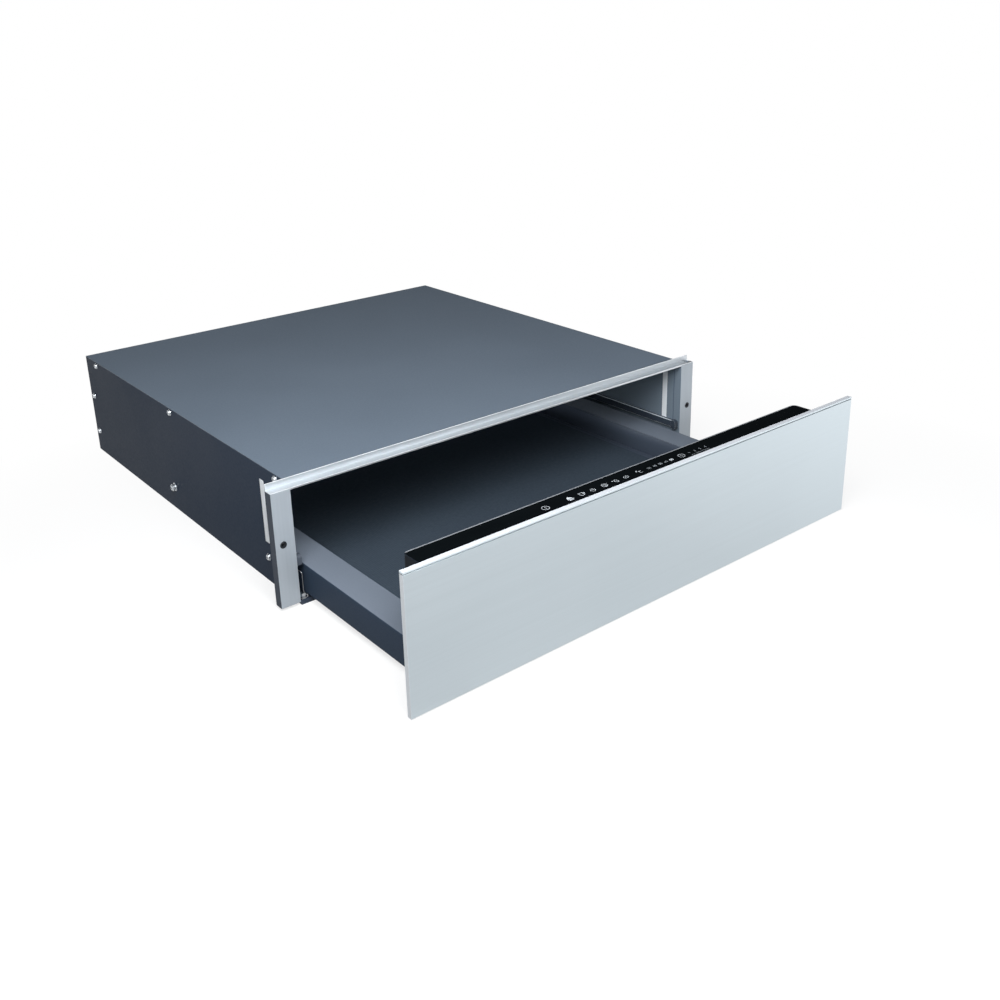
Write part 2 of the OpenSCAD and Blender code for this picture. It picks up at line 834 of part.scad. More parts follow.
module fan_wheel() {
  blade_end = (disc_front + disc_back) / 2;
  color(bright) difference() {
    union() {
      rod_y(0, fan_z, disc_front, disc_back, fan_r);
      rod_y(0, fan_z, blade_front, disc_back, hub_r);
      for (i = [0 : blades_n - 1]) {
        translate([0, 0, fan_z]) rotate([0, i * 360 / blades_n, 0]) translate([fan_r - blade_l, 0, 0]) {
          rotate([0, blade_tilt, 0]) slab([0, blade_front, -blade_t / 2], [blade_l, blade_end, blade_t / 2]);
        }
      }
    }
    rod_y(0, fan_z, blade_front - over, disc_back + over, shaft_r);
  }
}

// Motor
module motor_rotor() {
  color(steel) {
    rod_y(0, fan_z, blade_front, strap_back + sheet_t, shaft_r);
    rod_y(0, fan_z, stack_y, stack_back, rotor_r);
  }
}

module motor_stack() {
  top = fan_z + stack_rise;
  color([0.4, 0.42, 0.45]) difference() {
    slab([-stack_half, stack_y, bar_z], [stack_half, stack_back, top]);
    slab([-window_half, stack_y - over, bar_top], [window_half, stack_back + over, fan_z - stack_rise]);
    rod_y(0, fan_z, stack_y - over, stack_back + over, rotor_r + air_gap);
    both() rod_y(motor_screw_x, fan_z, stack_y - over, stack_back + over, motor_screw_r + screw_gap);
  }
}

module motor_coil() {
  x = window_half - coil_gap;
  color([0.62, 0.3, 0.14]) difference() {
    slab([-x, stack_y - coil_wall, bar_z - coil_wall], [x, stack_back + coil_wall, bar_top + coil_wall]);
    slab([-x - over, stack_y, bar_z], [x + over, stack_back, bar_top]);
  }
}

module bearing_strap(y0, y1, boss0, boss1, post0, post1) {
  half = motor_screw_x + strap_half;
  difference() {
    union() {
      slab([-half, y0, fan_z - strap_half], [half, y1, fan_z + strap_half]);
      rod_y(0, fan_z, boss0, boss1, boss_r);
      both() rod_y(motor_screw_x, fan_z, post0, post1, 2 * motor_screw_r);
    }
    rod_y(0, fan_z, y0 - stack_gap, y1 + stack_gap, shaft_r + bearing_gap);
    both() rod_y(motor_screw_x, fan_z, y0 - stack_gap, y1 + stack_gap, motor_screw_r + screw_gap);
  }
}

module motor_brackets() {
  front = chamber_back + bracket_t;
  rear = stack_back + stack_gap;
  color(bright) {
    bearing_strap(chamber_back, front, front, front + boss_l, front, stack_y);
    bearing_strap(rear, strap_back, rear - boss_l, rear, stack_back, rear);
  }
}

module motor_screws() {
  color(bright) both() {
    rod_y(motor_screw_x, fan_z, chamber_y, strap_back, motor_screw_r);
    rod_y(motor_screw_x, fan_z, strap_back, strap_back + motor_screw_r, 2 * motor_screw_r);
  }
}

// Electrics
module thermal_cutout() {
  color(dark) {
    rod_y(cutout_x, probe_z, chamber_back, chamber_back + cutout_h, cutout_r);
    for (side = [-1, 1]) {
      x = cutout_x + side * cutout_r / 2;
      slab(
        [x - probe_r, chamber_back + cutout_h, probe_z - sheet_t / 2],
        [x + probe_r, chamber_back + 2 * cutout_h, probe_z + sheet_t / 2]
      );
    }
  }
}

module temperature_probe() {
  color(bright) {
    rod_y(-probe_x, probe_z, baffle_y - probe_l, baffle_back + probe_l / 2, probe_r);
    rod_y(-probe_x, probe_z, baffle_y - box_t, baffle_y, 2 * probe_r);
  }
}

module power_board() {
  y = chamber_back + post_l;
  x1 = power_x + power_w;
  z1 = power_z + power_h;
  part_h = power_h / 3;
  color([0.1, 0.35, 0.2]) {
    slab([power_x, y, power_z], [x1, y + board_t, z1]);
    for (x = [power_x + 2 * post_r, x1 - 2 * post_r]) {
      for (z = [power_z + 2 * post_r, z1 - 2 * post_r]) rod_y(x, z, chamber_back, y, post_r);
    }
    for (share = component_shares) {
      x = power_x + power_w * share;
      slab([x, y, power_z + part_h], [x + part_h, y + board_t + 2 * post_l, power_z + 2 * part_h]);
    }
  }
}

module terminal_block() {
  y0 = rear_in - block_d;
  color([0.9, 0.9, 0.86]) difference() {
    slab([-inlet_x - block_w / 2, y0, sheet_t], [-inlet_x + block_w / 2, rear_in, sheet_t + block_h]);
    for (share = pole_shares) {
      x = -inlet_x + block_w * share;
      rod_z(x, y0 + block_d / 2, sheet_t + block_h / 2, sheet_t + block_h + over, screw_head_r);
    }
  }
}

module cable_gland() {
  color(dark) difference() {
    union() {
      rod_y(-inlet_x, gland_z, rear_in - gland_nut, housing_d + gland_out, gland_r);
      rod_y(-inlet_x, gland_z, housing_d, housing_d + gland_out, gland_collar_r);
      rod_y(-inlet_x, gland_z, rear_in - gland_nut, rear_in, gland_collar_r);
    }
    rod_y(-inlet_x, gland_z, rear_in - gland_nut - over, housing_d + gland_out + over, gland_bore_r);
  }
}

module housing_loom() {
  y0 = rear_in - block_d / 2;
  y1 = chamber_back + post_l + board_t / 2;
  z = sheet_t + loom_r;
  x0 = block_w / 2 - inlet_x;
  x1 = power_x + power_w / 2;
  color([0.75, 0.72, 0.65]) {
    rod_x(y0, z, x0, x1, loom_r);
    rod_z(0, y0, z, bar_z - coil_wall, loom_r);
    translate([x1, y0, z]) sphere(r = loom_r);
    rod_y(x1, z, y1, y0, loom_r);
    translate([x1, y1, z]) sphere(r = loom_r);
    rod_z(x1, y1, z, power_z, loom_r);
  }
}

// Latch and switch
module latch_case() {
  x = plunger_half + plunger_gap;
  color(dark) difference() {
    slab([-latch_half, latch_y, sheet_t], [latch_half, latch_y + latch_l, latch_h + sheet_t]);
    slab(
      [-x, latch_y - over, plunger_z - plunger_gap],
      [x, latch_wall_y, plunger_z + plunger_h + plunger_gap]
    );
  }
}

module latch_plunger() {
  color([0.85, 0.85, 0.82]) {
    slab([-plunger_half, plunger_y, plunger_z], [plunger_half, plunger_back, plunger_z + plunger_h]);
  }
}

module latch_spring() {
  color(bright) difference() {
    rod_y(0, spring_z, plunger_back, spring_back, spring_r);
    rod_y(0, spring_z, plunger_back - over, spring_back + over, spring_bore_r);
  }
}

module latch_striker() {
  color(bright) drawn() {
    slab(
      [-striker_half, striker_y - striker_foot, floor_under - striker_t],
      [striker_half, striker_y, floor_under]
    );
    slab([-striker_half, striker_y - striker_t, striker_z], [striker_half, striker_y, floor_under]);
  }
}

module reed_switch() {
  color(dark) {
    slab([reed_x, baffle_y - reed_t, reed_z], [reed_x + reed_l, baffle_y, reed_z + reed_h]);
  }
}

module switch_magnet() {
  color(steel) drawn() {
    slab([reed_x, tray_back, reed_z], [reed_x + reed_l, tray_back + magnet_t, reed_z + reed_h]);
  }
}

// Drawer front
module front_skin() {
  z1 = trim_z - groove_h;
  inner = panel_half - skin_t;
  color(steel) drawn() difference() {
    slab([-panel_half, panel_front, panel_z], [panel_half, panel_back, z1]);
    slab([-inner, panel_front + skin_t, panel_z + skin_t], [inner, panel_back + over, z1 + over]);
  }
}

module front_core() {
  inner = panel_half - skin_t;
  color([0.45, 0.47, 0.5]) drawn() {
    slab([-inner, panel_front + skin_t, panel_z + skin_t], [inner, panel_back, trim_z]);
  }
}

module top_trim() {
  color(bright) drawn() slab([-panel_half, panel_front, trim_z], [panel_half, panel_back, panel_top]);
}

// Outline of the control box seen from above, drawn in by an inset
module box_outline(inset) {
  r = box_r - inset;
  x = box_half - inset;
  y1 = box_back - inset;
  translate([-x, panel_back]) square([2 * x, y1 - r - panel_back]);
  translate([r - x, panel_back]) square([2 * (x - r), y1 - panel_back]);
  for (side = [-1, 1]) {
    translate([side * (x - r), y1 - r]) circle(r = r);
  }
}

module control_box() {
  color(dark) drawn() difference() {
    translate([0, 0, box_z]) linear_extrude(height = box_top - box_z) box_outline(0);
    translate([0, 0, box_z + box_t]) linear_extrude(height = box_top - box_z - 2 * box_t) {
      box_outline(box_t);
    }
    tray_screw_bores();
  }
}

module touch_glass() {
  color([0.03, 0.03, 0.04]) drawn() {
    translate([0, 0, box_top]) linear_extrude(height = glass_t) box_outline(bezel_w);
  }
}

module glass_bezel() {
  color(bright) drawn() difference() {
    translate([0, 0, box_top]) linear_extrude(height = glass_t + bezel_rise) box_outline(0);
    translate([0, 0, box_top - over]) linear_extrude(height = glass_t + bezel_rise + 2 * over) {
      box_outline(bezel_w);
    }
  }
}

module touch_board() {
  mid = panel_back + box_d / 2;
  top = box_top - box_t;
  color([0.1, 0.35, 0.2]) drawn() {
    slab([-board_w / 2, mid - board_d / 2, top - board_t], [board_w / 2, mid + board_d / 2, top]);
  }
}

// Drawer tray
module tray_screw_places() {
  for (share = tray_screw_shares) {
    translate([tray_half * share, 0, floor_z + tray_screw_up]) children();
  }
}

module tray_screw_bores() {
  tray_screw_places() {
    rod_y(0, 0, box_back - box_t - over, box_back + tray_t + over, tray_screw_r + screw_gap);
  }
}

module tray_pan() {
  color(housing_blue) drawn() difference() {
    slab([-leg_x, box_back, floor_under], [leg_x, tray_back, rim_under]);
    slab([-tray_half, box_back + tray_t, floor_z], [tray_half, tray_back - tray_t, rim_under + over]);
    tray_screw_bores();
  }
}

module side_rim() {
  color([0.47, 0.5, 0.55]) drawn() {
    slab([tray_half, box_back, rim_under], [rim_half, tray_back, rim_z]);
    slab([rim_half - rim_t, box_back, skirt_z], [rim_half, tray_back, rim_z]);
    slab([leg_x, box_back, floor_z], [leg_out, tray_back, rim_z]);
  }
}

module anti_slip_mat() {
  y0 = box_back + tray_t + mat_margin;
  y1 = tray_back - tray_t - mat_margin;
  color([0.1, 0.11, 0.12]) drawn() translate([0, 0, floor_z]) linear_extrude(height = mat_t) {
    translate([-mat_half, y0 + mat_r]) square([2 * mat_half, y1 - y0 - 2 * mat_r]);
    translate([mat_r - mat_half, y0]) square([2 * (mat_half - mat_r), y1 - y0]);
    for (x = [mat_r - mat_half, mat_half - mat_r]) {
      for (y = [y0 + mat_r, y1 - mat_r]) translate([x, y]) circle(r = mat_r);
    }
  }
}

module tray_screws() {
  face = box_back + tray_t;
  color(bright) drawn() tray_screw_places() {
    rod_y(0, 0, box_back - box_t - tray_t, face, tray_screw_r);
    rod_y(0, 0, face, face + tray_screw_r, tray_screw_head_r);
  }
}

top_cover();
left() side_panel(strip_left_y);  // side_panel_left
side_panel(strip_right_y);  // side_panel_right
base_pan();
rear_panel();
insulation();
ceiling_liner();
housing_screws();
left() frame_stile();  // frame_stile_left
frame_stile();  // frame_stile_right
top_rail();
bottom_rail();
slot_strips();
guide_strips();
guide_clips();
left() slide_bracket();  // slide_bracket_left
slide_bracket();  // slide_bracket_right
left() slide_outer();  // slide_outer_left
slide_outer();  // slide_outer_right
left() slide_middle();  // slide_middle_left
slide_middle();  // slide_middle_right
left() slide_inner();  // slide_inner_left
slide_inner();  // slide_inner_right
left() outer_cage();  // outer_cage_left
outer_cage();  // outer_cage_right
left() inner_cage();  // inner_cage_left
inner_cage();  // inner_cage_right
air_baffle();
chamber_plate();
heater_ring();
fan_wheel();
motor_rotor();
motor_stack();
motor_coil();
motor_brackets();
motor_screws();
thermal_cutout();
temperature_probe();
power_board();
terminal_block();
cable_gland();
housing_loom();
latch_case();
latch_plunger();
latch_spring();
reed_switch();
front_skin();
front_core();
top_trim();
control_box();
touch_glass();
glass_bezel();
touch_board();
tray_pan();
left() side_rim();  // side_rim_left
side_rim();  // side_rim_right
anti_slip_mat();
tray_screws();
latch_striker();
switch_magnet();
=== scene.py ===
import json
import math

import bmesh
import bpy
from mathutils import Matrix, Vector


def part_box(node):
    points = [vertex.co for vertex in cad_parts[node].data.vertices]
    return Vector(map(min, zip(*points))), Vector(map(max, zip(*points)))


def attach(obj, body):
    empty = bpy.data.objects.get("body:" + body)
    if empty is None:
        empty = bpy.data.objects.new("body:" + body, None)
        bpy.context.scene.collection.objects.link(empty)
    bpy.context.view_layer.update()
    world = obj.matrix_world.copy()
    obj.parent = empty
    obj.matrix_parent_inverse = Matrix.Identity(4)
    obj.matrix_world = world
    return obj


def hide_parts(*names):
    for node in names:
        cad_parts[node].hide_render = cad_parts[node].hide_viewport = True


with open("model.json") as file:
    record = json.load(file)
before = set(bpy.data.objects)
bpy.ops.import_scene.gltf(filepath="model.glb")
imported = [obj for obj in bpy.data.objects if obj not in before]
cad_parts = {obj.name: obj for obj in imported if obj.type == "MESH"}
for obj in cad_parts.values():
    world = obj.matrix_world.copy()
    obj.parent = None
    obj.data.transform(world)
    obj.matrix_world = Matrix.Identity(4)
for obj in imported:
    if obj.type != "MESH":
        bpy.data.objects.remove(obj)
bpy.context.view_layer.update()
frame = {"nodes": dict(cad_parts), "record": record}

mm = 0.001
record = frame["record"]
bodyOf = {node: body for body, nodes in record["behaviour"]["bodies"].items() for node in nodes}
slotOf = {row["node"]: row["material_slot"] for row in record["subparts"]}
scene = bpy.context.scene
sides = ((1, "right"), (-1, "left"))
print("model loaded:", len(frame["nodes"]), "nodes")


def linked(name, data):
    thing = bpy.data.objects.new(name, data)
    scene.collection.objects.link(thing)
    return thing


# Camera, lamps and floor

camera = {
    "lens": 39.25, "sensor": 36, "clip": (0.05, 50), "target": (-16.3, -11.0, 151.6), "distance": 1172.5,
    "turn": 38.63, "tilt": 19.87, "roll": -1.43, "shiftDown": -0.1,
}


def makeCamera(c):
    turn, tilt, roll = (math.radians(c[key]) for key in ("turn", "tilt", "roll"))
    forward = Vector((math.sin(turn) * math.cos(tilt), math.cos(turn) * math.cos(tilt), -math.sin(tilt)))
    right = Vector((math.cos(turn), -math.sin(turn), 0))
    up = right.cross(forward)
    right, up = right * math.cos(roll) + up * math.sin(roll), up * math.cos(roll) - right * math.sin(roll)
    data = bpy.data.cameras.new("camera")
    data.lens = c["lens"]
    data.sensor_width = c["sensor"]
    data.shift_y = c["shiftDown"]
    data.clip_start, data.clip_end = c["clip"]
    scene.camera = linked("camera", data)
    place = Vector(c["target"]) * mm - forward * c["distance"] * mm
    facing = Matrix((right, up, -forward)).transposed().to_4x4()
    scene.camera.matrix_world = Matrix.Translation(place) @ facing


# Each lamp: place, what it looks at, size in metres, power in watts, colour, whether gloss shows it
lamps = {
    "above": {"place": (-0.47, -0.50, 0.80), "aim": (-0.14, 0.0, 0.1), "size": (0.8, 0.6), "power": 18,
              "colour": (0.97, 0.985, 1.0), "inGloss": True},
    "lowFront": {"place": (-0.30, -2.3, 0.80), "aim": (0.0, 0.1, 0.08), "size": (0.7, 0.5), "power": 34,
                 "colour": (0.97, 0.985, 1.0), "inGloss": False},
    "behind": {"place": (1.7, 2.1, 0.42), "aim": (0, 0.3, 0.1), "size": (1.2, 0.8), "power": 16,
               "colour": (0.95, 0.975, 1.0), "inGloss": False},
}


def makeLamps():
    for name, l in lamps.items():
        data = bpy.data.lights.new(name, "AREA")
        data.shape = "RECTANGLE"
        data.size, data.size_y = l["size"]
        data.energy = l["power"]
        data.color = l["colour"]
        lamp = linked(name, data)
        lamp.location = l["place"]
        lamp.rotation_euler = (Vector(l["aim"]) - Vector(l["place"])).to_track_quat("-Z", "Y").to_euler()
        lamp.visible_glossy = l["inGloss"]


def fill(node, inputs):
    # Each input of a node takes another node's output or a plain value
    for key, value in inputs.items():
        if isinstance(value, bpy.types.NodeSocket):
            node.id_data.links.new(value, node.inputs[key])
        else:
            node.inputs[key].default_value = value


def add(tree, kind, inputs={}, out=0, **settings):
    # A new shader node, of which one output is handed back
    node = tree.nodes.new("ShaderNode" + kind)
    for key, value in settings.items():
        setattr(node, key, value)
    fill(node, inputs)
    return node.outputs[out] if node.outputs else None


def maths(tree, how, a, b):
    return add(tree, "Math", {0: a, 1: b}, operation=how)


def ranged(tree, source, span, to):
    limits = {"From Min": span[0], "From Max": span[1], "To Min": to[0], "To Max": to[1]}
    return add(tree, "MapRange", {"Value": source, **limits}, "Result")


def mixed(tree, share, first, second):
    return add(tree, "MixShader", {0: share, 1: first, 2: second})


# Light from all round, by how far a direction leans towards the main lamp. Gloss shows white round the
# horizon, and above it the shine behind the piece and in front of it
room = {"lean": (-0.15, -0.70, 0.60), "leanSpan": (-0.3, 1.0), "fill": (0.02, 0.30),
        "fillTone": (0.90, 0.95, 1.0, 1), "horizon": (0.05, 0.20), "frontSpan": (0.1, -0.4),
        "shine": (0.012, 0.30)}


def makeWorld(r):
    scene.world = bpy.data.worlds.new("studio")
    scene.world.use_nodes = True
    tree = scene.world.node_tree
    tree.nodes.clear()
    path = tree.nodes.new("ShaderNodeLightPath").outputs
    way = add(tree, "TexCoord", out="Generated")
    horizon = ranged(tree, add(tree, "SeparateXYZ", {0: way}, "Z"), r["horizon"], (1.0, 0.0))
    upper = ranged(tree, add(tree, "SeparateXYZ", {0: way}, "Y"), r["frontSpan"], r["shine"])
    shine = add(tree, "Background", {"Color": maths(tree, "MAXIMUM", horizon, upper)})
    lean = Vector(r["lean"]).normalized()
    leaning = add(tree, "VectorMath", {0: way, 1: lean}, "Value", operation="DOT_PRODUCT")
    soft = add(tree, "Background", {"Color": r["fillTone"],
                                    "Strength": ranged(tree, leaning, r["leanSpan"], r["fill"])})
    seen = add(tree, "Background", {"Color": (1, 1, 1, 1)})
    either = maths(tree, "MAXIMUM", path["Is Glossy Ray"], path["Is Transmission Ray"])
    add(tree, "OutputWorld", {0: mixed(tree, path["Is Camera Ray"], mixed(tree, either, soft, shine), seen)})


# The floor glows to white far from the piece and keeps its shadow near it; it throws little light back
floorLook = {"half": 30.0, "glow": (0.72, 1.0), "middle": (-0.2, -0.25, 0), "span": (0.30, 0.85),
             "tone": 0.82, "bounce": 0.14}


def makeFloor(f):
    mesh = bpy.data.meshes.new("floor")
    h = f["half"]
    mesh.from_pydata([(-h, -h, 0), (h, -h, 0), (h, h, 0), (-h, h, 0)], [], [(0, 1, 2, 3)])
    linked("floor", mesh)
    material = bpy.data.materials.new("paleFloor")
    material.use_nodes = True
    tree = material.node_tree
    tree.nodes.clear()
    path = tree.nodes.new("ShaderNodeLightPath").outputs
    away = add(tree, "VectorMath", {0: add(tree, "TexCoord", out="Object"), 1: f["middle"]}, "Value",
               operation="DISTANCE")
    rising = ranged(tree, away, f["span"], f["glow"])
    matte, dim = (add(tree, "BsdfDiffuse", {"Color": (f[key],) * 3 + (1,)}) for key in ("tone", "bounce"))
    pale = mixed(tree, rising, matte, add(tree, "Emission"))
    either = maths(tree, "MAXIMUM", path["Is Camera Ray"], path["Is Transmission Ray"])
    mirrored = add(tree, "Emission", {"Strength": rising})
    seen = mixed(tree, either, dim, pale)
    add(tree, "OutputMaterial", {0: mixed(tree, path["Is Glossy Ray"], seen, mirrored)})
    mesh.materials.append(material)


makeCamera(camera)
makeLamps()
makeWorld(room)
makeFloor(floorLook)
scene.view_settings.view_transform = "Standard"
print("camera, lamps and floor set")


# Finishes

def shade(colour):
    # Whole numbers are a colour as it looks on a screen, fractions the light values that a shader takes
    if max(colour) > 1:
        colour = [((c / 255 + 0.055) / 1.055) ** 2.4 if c > 10 else c / 3294 for c in colour]
    return (*colour, 1)


def laid(tree, made, pattern):
    # What a pattern gives: ("noise", stretch, detail, roughness), ("cells", stretch), ("ridges", axis,
    # pitch in metres), or the "mean" or "product" of two patterns. A stretch is one scale, or one per axis
    if pattern in made:
        return made[pattern]
    kind, *values = pattern
    if kind in ("mean", "product"):
        value = maths(tree, "ADD" if kind == "mean" else "MULTIPLY", *(laid(tree, made, p) for p in values))
        if kind == "mean":
            value = maths(tree, "MULTIPLY", value, 0.5)
    elif kind == "ridges":
        axis, pitch = values
        value = add(tree, "TexWave", {"Vector": made["place"], "Scale": math.pi / 10 / pitch}, "Fac",
                    bands_direction=axis)
    else:
        stretch = values[0] if isinstance(values[0], tuple) else (values[0],) * 3
        inputs = {"Vector": add(tree, "Mapping", {"Vector": made["place"], "Scale": stretch}), "Scale": 1}
        if kind == "cells":
            value = add(tree, "SeparateColor", {0: add(tree, "TexVoronoi", inputs, "Color")})
        else:
            rough = values[2] if len(values) > 2 else 0.55
            value = add(tree, "TexNoise", {**inputs, "Detail": values[1], "Roughness": rough}, "Fac")
    made[pattern] = value
    return value


def finishOf(name, tones, stops, colour, gloss, relief=None, metal=0.0, specular=0.5, more={}):
    # colour is the pattern that runs through the tones, gloss is (pattern, smooth, rough) or one roughness,
    # and relief is (pattern, depth in metres, strength)
    material = bpy.data.materials.new(name)
    material.use_nodes = True
    tree = material.node_tree
    made = {"place": add(tree, "TexCoord", out="Object")}
    ramp = tree.nodes.new("ShaderNodeValToRGB")
    marks = ramp.color_ramp.elements
    while len(marks) < len(stops):
        marks.new(0.5)
    for mark, stop, light in zip(marks, stops, tones):
        mark.position = stop
        mark.color = shade(light)
    fill(ramp, {0: laid(tree, made, colour)})
    if isinstance(gloss, tuple):
        gloss = ranged(tree, laid(tree, made, gloss[0]), (0.3, 0.7), gloss[1:])
    inputs = {"Base Color": ramp.outputs["Color"], "Roughness": gloss, "Metallic": metal,
              "Specular IOR Level": specular, **more}
    if relief:
        height, depth, strength = relief
        inputs["Normal"] = add(tree, "Bump", {"Strength": strength, "Distance": depth,
                                              "Height": laid(tree, made, height)}, "Normal")
    fill(tree.nodes["Principled BSDF"], inputs)
    return material


def paint(name, dark, light, rough=(0.42, 0.58), specular=0.25, size=1400):
    # Baked paint on sheet steel: fine orange peel, slow change of tone
    slow, fine = ("noise", 7, 4), ("noise", size, 2)
    gloss = (("mean", slow, ("noise", size / 3, 2)), *rough)
    return finishOf(name, (dark, light), (0.3, 0.7), ("mean", slow, fine), gloss, (fine, 0.00006, 0.12),
                    specular=specular)


def brushed(name, dark, light, along="X", rough=(0.28, 0.42), relief=0.10, metal=1.0):
    # Brushed metal: long hairlines along one axis, in two widths
    def hair(wide, long, *rest):
        return ("noise", tuple(long if axis == along else wide for axis in "XYZ"), *rest)

    lines = ("mean", hair(1900, 9, 3, 0.6), hair(420, 3, 2))
    return finishOf(name, (dark, light), (0.36, 0.62), ("mean", lines, ("noise", 5, 2)), (lines, *rough),
                    (lines, 0.00003, relief), metal)


def zinc(name, dark, light, size=160, rough=(0.28, 0.46)):
    # Zinc coated steel with its flat crystals
    crystals = ("cells", size)
    colour = ("mean", crystals, ("noise", 30, 3))
    return finishOf(name, (dark, light), (0.2, 0.8), colour, (crystals, *rough),
                    (("noise", 900, 3), 0.00003, 0.10), 0.95)


def plastic(name, dark, light, rough=(0.38, 0.52)):
    fine = ("noise", 1100, 3)
    return finishOf(name, (dark, light), (0.3, 0.7), ("mean", fine, ("noise", 25, 3)), (fine, *rough),
                    (fine, 0.00005, 0.15), specular=0.4)


def ink(name, dark, light, glow):
    # The print glows faintly by its own emission, a painted glow, though no lamp lights it
    fine = ("noise", 2600, 2)
    return finishOf(name, (dark, light), (0.3, 0.7), fine, (fine, 0.5, 0.7), specular=0.2,
                    more={"Emission Color": shade(light), "Emission Strength": glow})


# Patterns that a finish uses for both its colour and its relief
pips = ("product", ("ridges", "X", 0.0024), ("ridges", "Y", 0.0024))
smears = ("noise", (14, 30, 30), 4)
tracks = ("product", ("cells", (700, 700, 260)), ("cells", 420))
turns = ("ridges", "X", 0.0005)
sheets = ("ridges", "Y", 0.0005)
hairs = ("mean", ("noise", (900, 160, 900), 4), ("noise", (160, 900, 900), 4))
weave = ("product", ("ridges", "DIAGONAL", 0.0009), ("ridges", "X", 0.0012))

